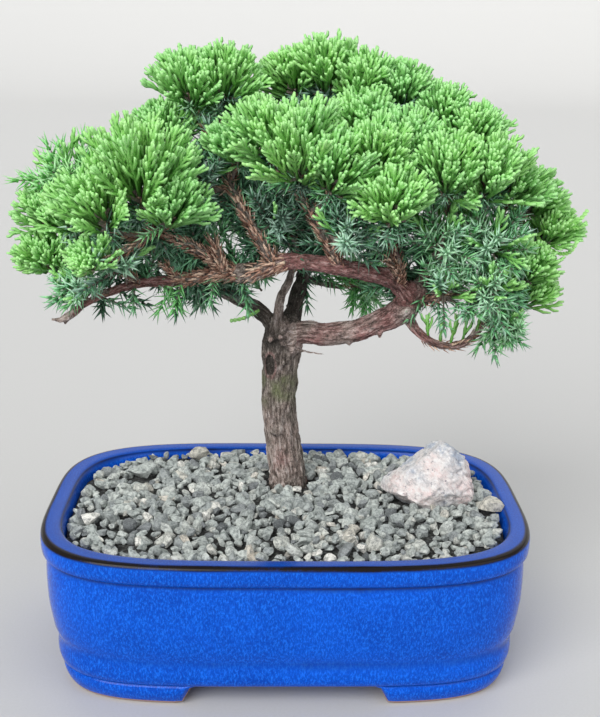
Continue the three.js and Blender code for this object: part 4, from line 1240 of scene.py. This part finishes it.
def addNeedle(bm, height, turn, slant, size):
    # flat on two sides, with the pale band on the one that looks up
    tipLayer = bm.verts.layers.float["tip"]
    made = bmesh.ops.create_cone(bm, cap_ends=True, segments=3, radius1=leafShape["needleWidth"], radius2=0,
                                 depth=size)
    for vert in made["verts"]:
        vert[tipLayer] = 1 if vert.co.z > 0 else 0.1
    matrix = Matrix.Translation((0, 0, height)) @ Matrix.Rotation(turn, 4, "Z")
    matrix = matrix @ Matrix.Rotation(slant, 4, "Y") @ Matrix.Diagonal((leafShape["flatness"], 1, 1, 1))
    matrix = matrix @ Matrix.Translation((0, 0, size / 2 + 0.2)) @ Matrix.Rotation(pi, 4, "Z")
    bmesh.ops.transform(bm, matrix=matrix, verts=made["verts"])
    for face in {f for v in made["verts"] for f in v.link_faces}:
        face.normal_update()
        face.material_index = bandSlot if face.normal.z > 0.3 else needleSlot


def makeNeedleTwig(length, rnd):
    # a thin twig with needles in threes
    bm = blankMesh("tip")
    addTube(bm, [Vector((0, 0, length * k / 3)) for k in range(4)], 3, lambda k, column: 0.45 - 0.07 * k)
    for face in bm.faces:
        face.material_index = twigSlot
    gap = leafShape["whorlGap"]
    whorls = round(length / gap)
    for row in range(whorls + 1):
        top = row == whorls
        for k in range(3):
            turn = 2 * pi * (k + 0.5 * (row % 2)) / 3 + rnd.uniform(-0.25, 0.25)
            slant = radians(leafShape["needleSlant"] * (0.45 if top else 1) * rnd.uniform(0.8, 1.2))
            size = leafShape["needleLength"] * rnd.uniform(0.85, 1.1) * (0.8 if top else 1)
            addNeedle(bm, row * gap, turn, slant, size)
    return shapeFrom("needleTwig", bm)


def makeFlake(rnd):
    # one dry scale needle, flat and a little bent, lying along +Z
    bm = blankMesh("tip")
    size = rnd.uniform(2.6, 3.9)
    bmesh.ops.create_cone(bm, cap_ends=True, segments=3, radius1=0.84, radius2=0.1, depth=size)
    flat = Matrix.Diagonal((0.42, 1, 1, 1)) @ Matrix.Translation((0, 0, size / 2))
    bmesh.ops.transform(bm, matrix=flat, verts=bm.verts)
    bend = rnd.uniform(0.02, 0.05)
    for vert in bm.verts:
        vert.co.x += bend * vert.co.z ** 2
    for face in bm.faces:
        face.material_index = drySlot
    return shapeFrom("flake", bm)


def makeLeaves():
    # copies of each length to choose from, and the dry scales
    rnd = Random(leafShape["shapesSeed"])
    leaves = {}
    makers = {"shoot": (makeFinger, "fingerLengths"), "twig": (makeNeedleTwig, "needleTwigLengths")}
    for kind, (make, lengths) in makers.items():
        leaves[kind] = [(length, [make(length, rnd) for _ in range(3)]) for length in leafShape[lengths]]
    return leaves, [makeFlake(rnd) for _ in range(6)]


leaves, flakes = makeLeaves()


def roomOf(name):
    # half-spaces towards the neighbours, from the sizes of both
    def ballOf(key):
        foot, tip = Vector(sprays[key][1]), Vector(sprays[key][2])
        return foot.lerp(tip, 0.6), 0.5 * (tip - foot).length

    middle, size = ballOf(name)
    walls = []
    for other in sprays:
        if other == name:
            continue
        nextMiddle, nextSize = ballOf(other)
        apart = (middle - nextMiddle).length
        normal = (middle - nextMiddle) / apart
        reach = (apart * apart + size * size - nextSize * nextSize) / (2 * apart)
        walls.append((normal, normal.dot(middle - normal * reach)))
    return walls


def freeLength(start, heading, wanted, walls, slack):
    # how far a shoot can grow before it meets a neighbour's room
    length = wanted
    for normal, offset in walls:
        left = normal.dot(start) - offset + slack
        ahead = normal.dot(heading)
        if left < 0:
            return 0
        if ahead < 0:
            length = min(length, left / -ahead)
    return length


# limbs that stay in sight from the front, with the part of each that no twig may cover
openLimbs = {
    "crossBranch": (0.22, 1.0),
    "leftRise": (0.0, 0.9),
    "midRise": (0.0, 0.72),
    "frontRise": (0.0, 0.85),
    "rightFront": (0.0, 0.45),
    "rightLimb": (0.2, 1.0),
    "rightTwig": (0.0, 1.0),
    "droopTwig": (0.0, 1.0),
    "thinStem": (0.0, 0.7),
}
frontSide = Vector((0, -465, 265))


def partOf(name, low, high):
    spine = spines[name]
    return spine[int(low * len(spine)):int(high * len(spine))]


def sightLine(point):
    # where a point is seen from the front, and how far off
    ray = point - frontSide
    return Vector((ray.x / ray.y, ray.z / ray.y, 0)) * -frontSide.y, ray.length


def makeSight():
    shown = []
    for name, (low, high) in openLimbs.items():
        shown += partOf(name, low, high)
    tree = kdtree.KDTree(len(shown))
    for k, (point, _) in enumerate(shown):
        tree.insert(sightLine(point)[0], k)
    tree.balance()
    return shown, tree


shownPoints, sightTree = makeSight()


def hidesLimb(start, end, slack):
    for k in range(4):
        point = start.lerp(end, k / 3)
        spot, away = sightLine(point)
        for _, index, distance in sightTree.find_range(spot, 7):
            limbPoint, radius = shownPoints[index]
            if distance < radius + slack and sightLine(limbPoint)[1] > away + 1:
                return True
    return False


def capDirections(count, heading, least, rnd):
    # evenly spread directions round a heading, down to the least share of it
    side = heading.cross(Vector((0.3, 0.2, 1))).normalized()
    other = heading.cross(side)
    start = rnd.uniform(0, 2 * pi)
    for k in range(count):
        forward = 1 - (1 - least) * (k + 0.5) / count
        around = start + k * pi * (3 - sqrt(5))
        wide = sqrt(max(0, 1 - forward * forward))
        jitter = anyVector(rnd) * 0.09
        course = heading * forward + side * wide * cos(around) + other * wide * sin(around)
        yield (course + jitter).normalized()


def addLeaf(bm, kind, start, course, length, tone, rnd):
    # the copy whose length comes nearest, stretched a little to fit
    ownLength, shapes = min(leaves[kind], key=lambda choice: abs(choice[0] - length))
    stretch = min(max(length / ownLength, 0.6), 1.3)
    matrix = Matrix.Translation(start) @ turnedTo(course, rnd.uniform(0, 2 * pi))
    matrix = matrix @ (Matrix.Diagonal((1, 1, stretch, 1)) if stretch > 1 else Matrix.Scale(stretch, 4))
    addCopy(bm, rnd.choice(shapes), matrix, min(1, tone + 0.35 * rnd.random()))


def addStalk(bm, route, thick):
    before = set(bm.faces)
    addTube(bm, route, 5 if thick > 1 else 3, lambda k, column: thick * (1 - 0.35 * k / (len(route) - 1)))
    for face in bm.faces:
        if face not in before:
            face.material_index = twigSlot


def clothe(bm, route, thick, gap, rnd):
    # dry scale needles that hug a twig, as many as one for each gap of its length
    left = 0
    for start, end in zip(route, route[1:]):
        left += (end - start).length
        ahead = (end - start).normalized()
        while left > gap:
            left -= gap
            out = ahead.cross(anyVector(rnd)).normalized()
            course = (ahead + out * rnd.uniform(0.12, 0.5)).normalized()
            turn = Matrix((out.cross(course).cross(course) * -1, out.cross(course) * -1, course)).transposed()
            for k in range(3):
                turn.col[k].normalize()
            place = start.lerp(end, rnd.random()) + out * thick * 0.93
            matrix = Matrix.Translation(place) @ turn.to_4x4() @ Matrix.Scale(rnd.uniform(0.75, 1.15), 4)
            addCopy(bm, rnd.choice(flakes), matrix, rnd.random())


def growTwig(bm, spray, start, course, wanted, tone, rnd):
    # a needle twig, where neither a neighbour nor an open limb is in its way
    length = freeLength(start, course, wanted, spray["walls"], 3)
    if length > 2.5 and not hidesLimb(start, start + course * (length + 3), 1.2):
        addLeaf(bm, "twig", start, course, length, tone, rnd)


def growNeedles(bm, spray, rnd):
    foot, heading, reach, tone = spray["foot"], spray["heading"], spray["reach"], spray["tone"]
    for direction in capDirections(leafShape["needleTwigs"], heading, leafShape["needleCap"], rnd):
        root = foot + heading * rnd.uniform(0, 8)
        start = root + direction * rnd.uniform(0.5, 0.3 * reach)
        wanted = max(reach * rnd.uniform(0.72, 1.03) - (start - foot).length - 3.5, 5)
        if rnd.random() < 0.14:
            continue
        addStalk(bm, curveBetween(root, root.lerp(start, 0.5), start, 4), 0.5)
        course = (direction + upward * 0.25 * (1 - abs(direction.z))).normalized()
        length = freeLength(start, course, wanted + 3, spray["walls"], 2.4)
        if rnd.random() < spray["mix"] and direction.z > -0.3 and length > 5:
            if not hidesLimb(start, start + course * length, 0):
                addLeaf(bm, "shoot", start, course, length, 0.1 + 0.5 * tone, rnd)
        else:
            growTwig(bm, spray, start, course, wanted, tone, rnd)


def growShoots(bm, spray, rnd):
    foot, heading, reach, tone = spray["foot"], spray["heading"], spray["reach"], spray["tone"]
    for direction in capDirections(leafShape["branchlets"], heading, leafShape["shootCap"], rnd):
        root = foot + heading * (2 + 8 * max(0, direction.dot(heading)) * rnd.uniform(0.5, 1))
        fork = root + (direction + upward * 0.2).normalized() * reach * rnd.uniform(0.14, 0.24)
        addStalk(bm, curveBetween(root, root.lerp(fork, 0.5), fork, 3), 0.9)
        across = direction.cross(anyVector(rnd)).normalized()
        for k in range(leafShape["fingersEach"]):
            spread = (k - 0.5 * (leafShape["fingersEach"] - 1)) * 0.2 + rnd.uniform(-0.06, 0.06)
            lean = anyVector(rnd) * 0.06
            course = (direction + across * spread * 1.4 + upward + lean).normalized()
            start = fork + across * spread * 5 - direction * rnd.uniform(0, 0.12 * reach)
            wanted = reach * (1.05 - 0.06 * course.dot(heading)) * rnd.uniform(0.84, 1.03)
            wanted -= (start - foot).length
            if course.z < -0.12:
                # what hangs down still has its young needles
                if k % 2:
                    growTwig(bm, spray, start, course, max(wanted - 4, 5), 0.25 + tone * 0.5, rnd)
                continue
            length = freeLength(start, course, max(wanted, 4), spray["walls"], 2.6)
            if length > 3 and not hidesLimb(start, start + course * length, 0):
                addLeaf(bm, "shoot", start, course, length, tone, rnd)


def growSkirt(bm, spray, rnd):
    # young needles round the foot of a spray of shoots, but not at the outer ends of the tree
    foot, heading = spray["foot"], spray["heading"]
    for direction in capDirections(leafShape["skirtTwigs"], heading, leafShape["skirtCap"], rnd):
        outward = direction.x * foot.x > 0 and abs(foot.x) > 84
        if direction.dot(heading) < 0.35 and not outward:
            start = foot + heading * rnd.uniform(-2, 5) + direction * 0.8
            growTwig(bm, spray, start, direction, rnd.uniform(4, 8.5), 0.35 + 0.4 * rnd.random(), rnd)


def makeSpray(name, seed, materials):
    kind, foot, tip, limb, tone = sprays[name]
    foot, tip = Vector(foot), Vector(tip)
    reach = (tip - foot).length
    heading = (tip - foot) / reach
    spray = {
        "foot": foot,
        "heading": heading,
        "reach": reach,
        "walls": roomOf(name),
        "tone": tone,
        "mix": shootShare.get(name, 0.12),
    }
    rnd = Random(seed)
    bm = blankMesh("tip", "tint")
    seat = min((point for point, _ in spines[limb]), key=lambda point: (point - foot + heading * 4).length)
    stalk = curveBetween(seat, foot - heading * 0.4 * (foot - seat).length, foot + heading * 7, 1.6)
    addStalk(bm, stalk, 1.3)
    clothe(bm, stalk, 1.2, 0.42, rnd)
    if kind == "needles":
        growNeedles(bm, spray, rnd)
    else:
        growShoots(bm, spray, rnd)
        growSkirt(bm, spray, rnd)
    node = "spray_" + "".join("_" + c.lower() if c.isupper() else c for c in name)
    finishPiece(name + "Spray", bm, materials, [node])


shootLook = {
    "warm": [
        (0.0, (0.06, 0.18, 0.03)),
        (0.3, (0.165, 0.43, 0.066)),
        (0.8, (0.315, 0.675, 0.165)),
        (1.0, (0.42, 0.78, 0.28)),
    ],
    "cool": [
        (0.0, (0.035, 0.13, 0.032)),
        (0.35, (0.105, 0.34, 0.075)),
        (0.85, (0.25, 0.585, 0.19)),
        (1.0, (0.35, 0.7, 0.29)),
    ],
    "pale": (0.45, 0.74, 0.26),
}


def makeShootLook():
    material, tree, shader = newMaterial("scaleGreen")
    warm, cool = (rampOf(tree, attributeOf(tree, "tip"), shootLook[kind]) for kind in ("warm", "cool"))
    patch = greyRamp(tree, noiseOn(tree, 42, 2), 0.4, 0.62)
    share = scaled(tree, mathOf(tree, "ADD", attributeOf(tree, "tint"), scaled(tree, patch, 0.5)), 0.8)
    colour = mixed(tree, share, warm, cool)
    colour = laidOver(tree, colour, shootLook["pale"], noiseOn(tree, 1500, 3), 0.5, 0.75, 0.3)
    finishLook(tree, shader, colour, 0.5, cellsOn(tree, 1100), 0.35, 0.0004)
    return material


needleLooks = {
    "needleGreen": ((0.075, 0.24, 0.135), (0.32, 0.73, 0.45), (0.24, 0.68, 0.17)),
    "needleBand": ((0.27, 0.5, 0.4), (0.64, 0.9, 0.76), (0.42, 0.8, 0.33)),
}
# painted shade for the needles deep inside the crown
innerNeedleShade = (0.022, 0.062, 0.03)


def makeNeedleLook(name):
    material, tree, shader = newMaterial(name)
    dark, bright, green = needleLooks[name]
    tint = attributeOf(tree, "tint")
    colour = mixed(tree, scaled(tree, attributeOf(tree, "tip"), 0.85), dark, bright)
    grain = noiseOn(tree, 900, 3)
    share = mathOf(tree, "ADD", 0.75, scaled(tree, greyRamp(tree, grain, 0.35, 0.65), 0.25))
    colour = mixed(tree, mathOf(tree, "SUBTRACT", share, tint), colour, green)
    # painted shade: the needles with the highest tints, deep inside the crown, are darkened
    colour = laidOver(tree, colour, innerNeedleShade, tint, 0.68, 0.98, 0.72)
    finishLook(tree, shader, colour, 0.5, grain, 0.2, 0.0002)
    return material


dryLook = {
    "base": "tint",
    "stops": [
        (0.0, (0.18, 0.085, 0.055)),
        (0.3, (0.45, 0.245, 0.175)),
        (0.7, (0.71, 0.465, 0.355)),
        (1.0, (0.88, 0.69, 0.53)),
    ],
    "layers": [((0.08, 0.04, 0.03), (1100, 4), 0.55, 0.38, 0.5)],
    "roughness": 0.85,
    "grain": (1100, 4),
    "bump": (0.5, 0.0003),
}

leafMaterials = [
    makeShootLook(),
    makeNeedleLook("needleGreen"),
    makeNeedleLook("needleBand"),
    makeLook("dryScales", dryLook),
    bark,
]
for index, name in enumerate(sprays):
    makeSpray(name, leafShape["firstSeed"] + leafShape["seedStep"] * index, leafMaterials)
print("foliage done")


# dry scales left on the barer twigs: from and to along the limb, and the gap between two of them
clothedLimbs = {
    "leftRise": (0.0, 1.0, 0.13),
    "midRise": (0.0, 1.0, 0.16),
    "frontRise": (0.0, 1.0, 0.14),
    "rightFront": (0.1, 1.0, 0.16),
    "rightTwig": (0.3, 1.0, 0.3),
    "droopTwig": (0.3, 1.0, 0.55),
    "crossBranch": (0.4, 0.72, 0.12),
    "leftLimb": (0.45, 1.0, 0.4),
    "thinStem": (0.55, 1.0, 0.5),
    "rightRise": (0.5, 1.0, 0.4),
    "leaderLeft": (0.3, 1.0, 0.4),
    "leaderRight": (0.3, 1.0, 0.4),
    "backLeft": (0.3, 1.0, 0.4),
    "backRight": (0.3, 1.0, 0.4),
}

# single shoots and tufts off the sprays: kind, root, tip and tone
looseShoots = [
    ("twig", (-43, -9, 161), (-46, -11, 152), 0.2),
    ("twig", (-47, -8, 160), (-52, -9, 151), 0.1),
    ("twig", (-50, -8, 160), (-44, -9, 152), 0.3),
    ("twig", (-30, -9, 164), (-31, -12, 156), 0.4),
    ("twig", (-62, -8, 159), (-62, -12, 153), 0.5),
    ("shoot", (58, -6, 139), (57, -7, 149), 0.1),
    ("shoot", (63, -7, 137), (63, -8, 148), 0.2),
    ("shoot", (67, -8, 136.5), (69, -9, 150), 0.1),
    ("shoot", (72, -8, 138), (74, -9, 151), 0.2),
    ("shoot", (77, -8, 141), (81, -9, 154), 0.1),
    ("twig", (56, -5, 157), (51, -7, 149), 0.5),
    ("twig", (61, -6, 156), (62, -8, 147), 0.5),
    ("twig", (13, 34, 158), (22, 33, 152), 0.2),
    ("twig", (18, 36, 156), (29, 35, 153), 0.1),
    ("twig", (24, 38, 154), (37, 36, 154), 0.2),
    ("twig", (30, 40, 156), (42, 38, 158), 0.1),
    ("twig", (-12, 26, 152), (-19, 27, 160), 0.3),
    ("twig", (-20, 24, 152), (-24, 27, 161), 0.2),
]

# long curling shoots at the far right
curlingShoots = [
    [(101, 2, 180), (107, 0, 184), (113, -1, 185), (118, -2, 188), (121, -2, 192)],
    [(113, -1, 185), (117, -2, 184.5), (121, -3, 186.5)],
    [(101, 3, 181), (107, 0, 175.5), (111.5, -2, 173.8), (115, -3, 175), (117.5, -3, 179.5)],
    [(-12, 14, 145), (-18, 11, 142.5), (-24.3, 10, 141.3)],
]

# needles inside the crown, behind the open limbs: part of the limb and how many twigs
innerTwigs = {
    "leftLimb": (0.45, 1.0, 84),
    "crossBranch": (0.45, 0.9, 60),
    "leftRise": (0.2, 1.0, 34),
    "midRise": (0.1, 1.0, 60),
    "frontRise": (0.3, 1.0, 22),
    "leader": (0.3, 0.9, 50),
    "backLeft": (0.1, 1.0, 66),
    "leaderLeft": (0.1, 1.0, 36),
    "backRight": (0.1, 1.0, 52),
    "rightRise": (0.0, 0.7, 54),
    "leaderRight": (0.1, 1.0, 30),
    "thinStem": (0.7, 1.0, 14),
    "rightFront": (0.1, 0.9, 34),
}

# short bare side twigs, clad in dry scales
sideTwigs = [
    ([(-21, -9, 166), (-25.3, -12, 167.2), (-27.5, -14, 174.1), (-29.8, -15, 180.6)], 1.5),
    ([(-39, -6, 162), (-43.7, -8, 163.7), (-46.7, -9.5, 166.5), (-49.2, -11, 169.4)], 1.2),
    ([(46, -4, 158), (44.5, -10, 166.5), (41.3, -13, 172), (38.3, -15, 174.4)], 1.7),
]


def addSideTwigs(bm, rnd):
    for points, thick in sideTwigs:
        line = [point for point, _ in smoothRoute([(*point, thick) for point in points], 24)]
        addStalk(bm, line, thick)
        clothe(bm, line, thick, 0.14, rnd)


def makeTwigDressing():
    rnd = Random(leafShape["dressingSeed"])
    bm = blankMesh("tip", "tint")
    for name, (low, high, gap) in clothedLimbs.items():
        part = partOf(name, low, high)
        for (start, radius), (end, _) in zip(part, part[1:]):
            # a hair under the gap, so that a full step gets its last scale
            clothe(bm, [start, end], radius, gap * 0.999, rnd)
    for kind, root, tip, tone in looseShoots:
        root, course = Vector(root), Vector(tip) - Vector(root)
        addStalk(bm, curveBetween(root - course * 0.15, root, root + course * 0.2, 1), 0.6)
        addLeaf(bm, kind, root, course.normalized(), course.length, tone, rnd)
    for name, (low, high, count) in innerTwigs.items():
        part = partOf(name, low, high)
        for k in range(count):
            point, radius = part[int((k + rnd.random()) * len(part) / count)]
            course = Vector((rnd.gauss(0, 1), rnd.gauss(0.5, 0.8), rnd.gauss(0.45, 0.8))).normalized()
            start, length = point + course * radius * 0.8, rnd.uniform(7, 14)
            if not hidesLimb(start, start + course * (length + 3), 0.8):
                # their tones, from 0.5 up, give many of them the painted shade of the inner needles
                addLeaf(bm, "twig", start, course, length, 0.5 + 0.35 * rnd.random(), rnd)
    addSideTwigs(bm, rnd)
    for points in curlingShoots:
        line = smoothRoute([(*point, 1) for point in points], 5 * len(points))
        addCord(bm, [point for point, _ in line], 4, 0.5, 1)
    finishPiece("twigDressing", bm, leafMaterials, [])


makeTwigDressing()
print("twigs dressed")


# Stage, light and camera

cameraView = {
    "place": (-5.01, -464.76, 264.53),
    "pitchDown": 0.2859,
    "yaw": 0.0224,
    "roll": 0.013,
    "lens": 58.02,
    "sensor": 36,
}

# metres, unlike the part
stageShape = {
    "flat": 3.4,
    "sweep": 1.2,
    "height": 1.6,
    "sides": 96,
    "rows": 26,
}

# place, spread in degrees, power and colour of each broad light
suns = {
    "keyLight": ((-0.75, -1.25, 1.05), 45, 3.3, (1.0, 0.99, 0.97)),
    "fillLight": ((1.1, -0.9, 0.7), 60, 1.2, (0.97, 0.98, 1.0)),
    "topLight": ((0.2, 0.9, 1.3), 70, 0.8, (1, 1, 1)),
}
room = {"colour": (0.8, 0.81, 0.82), "strength": 0.55}


def makeFloorLook():
    material, tree, shader = newMaterial("paleFloor")
    colour = rampOf(tree, noiseOn(tree, 900, 2), [(0.3, (0.5, 0.5, 0.495)), (0.7, (0.52, 0.52, 0.515))])
    feed(tree, shader.inputs["Base Color"], colour)
    feed(tree, shader.inputs["Roughness"], 0.8)
    return material


def makeFloor():
    # a flat floor that sweeps up into a low round wall far away
    bm = bmesh.new()

    def place(vert, u, v):
        angle = 2 * pi * u
        flat, sweep = stageShape["flat"], stageShape["sweep"]
        if v <= 0.5:
            away, height = 2 * v * flat, 0
        else:
            bend = min((v - 0.5) / 0.4, 1) * pi / 2
            away, height = flat + sweep * sin(bend), sweep * (1 - cos(bend))
            height += max(0, v - 0.9) / 0.1 * (stageShape["height"] - sweep)
        vert.co = Vector((away * cos(angle), away * sin(angle), height))

    addSheet(bm, stageShape["sides"], stageShape["rows"], place)
    bmesh.ops.recalc_face_normals(bm, faces=bm.faces)
    mesh = meshFrom("paleFloor", bm)
    mesh.shade_smooth()
    mesh.materials.append(makeFloorLook())
    floor = addObject("paleFloor", mesh)


def addSun(name, place, spread, power, colour):
    # a broad even light that comes from a side
    light = bpy.data.lights.new(name, "SUN")
    light.angle = radians(spread)
    light.energy = power
    light.color = colour
    lamp = addObject(name, light)
    lamp.location = place
    lamp.rotation_euler = (Vector((0, 0, 0.1)) - Vector(place)).to_track_quat("-Z", "Y").to_euler()


def makeWorld():
    world = bpy.data.worlds.new("paleRoom")
    world.use_nodes = True
    background = world.node_tree.nodes["Background"]
    background.inputs["Color"].default_value = (*room["colour"], 1)
    background.inputs["Strength"].default_value = room["strength"]
    bpy.context.scene.world = world
    bpy.context.scene.view_settings.view_transform = "Standard"


def makeCamera():
    pitch, yaw, roll = cameraView["pitchDown"], cameraView["yaw"], cameraView["roll"]
    ahead = Vector((sin(yaw) * cos(pitch), cos(yaw) * cos(pitch), -sin(pitch)))
    level = Vector((cos(yaw), -sin(yaw), 0))
    up = level.cross(ahead)
    right = level * cos(roll) + up * sin(roll)
    up = up * cos(roll) - level * sin(roll)
    camera = addObject("camera", bpy.data.cameras.new("camera"))
    camera.data.lens = cameraView["lens"]
    camera.data.sensor_width = cameraView["sensor"]
    camera.matrix_world = Matrix((right, up, -ahead)).transposed().to_4x4()
    camera.location = potMiddle + Vector(cameraView["place"]) / 1000
    bpy.context.scene.camera = camera


makeFloor()
for name, settings in suns.items():
    addSun(name, *settings)
makeWorld()
makeCamera()
print("light and camera done")
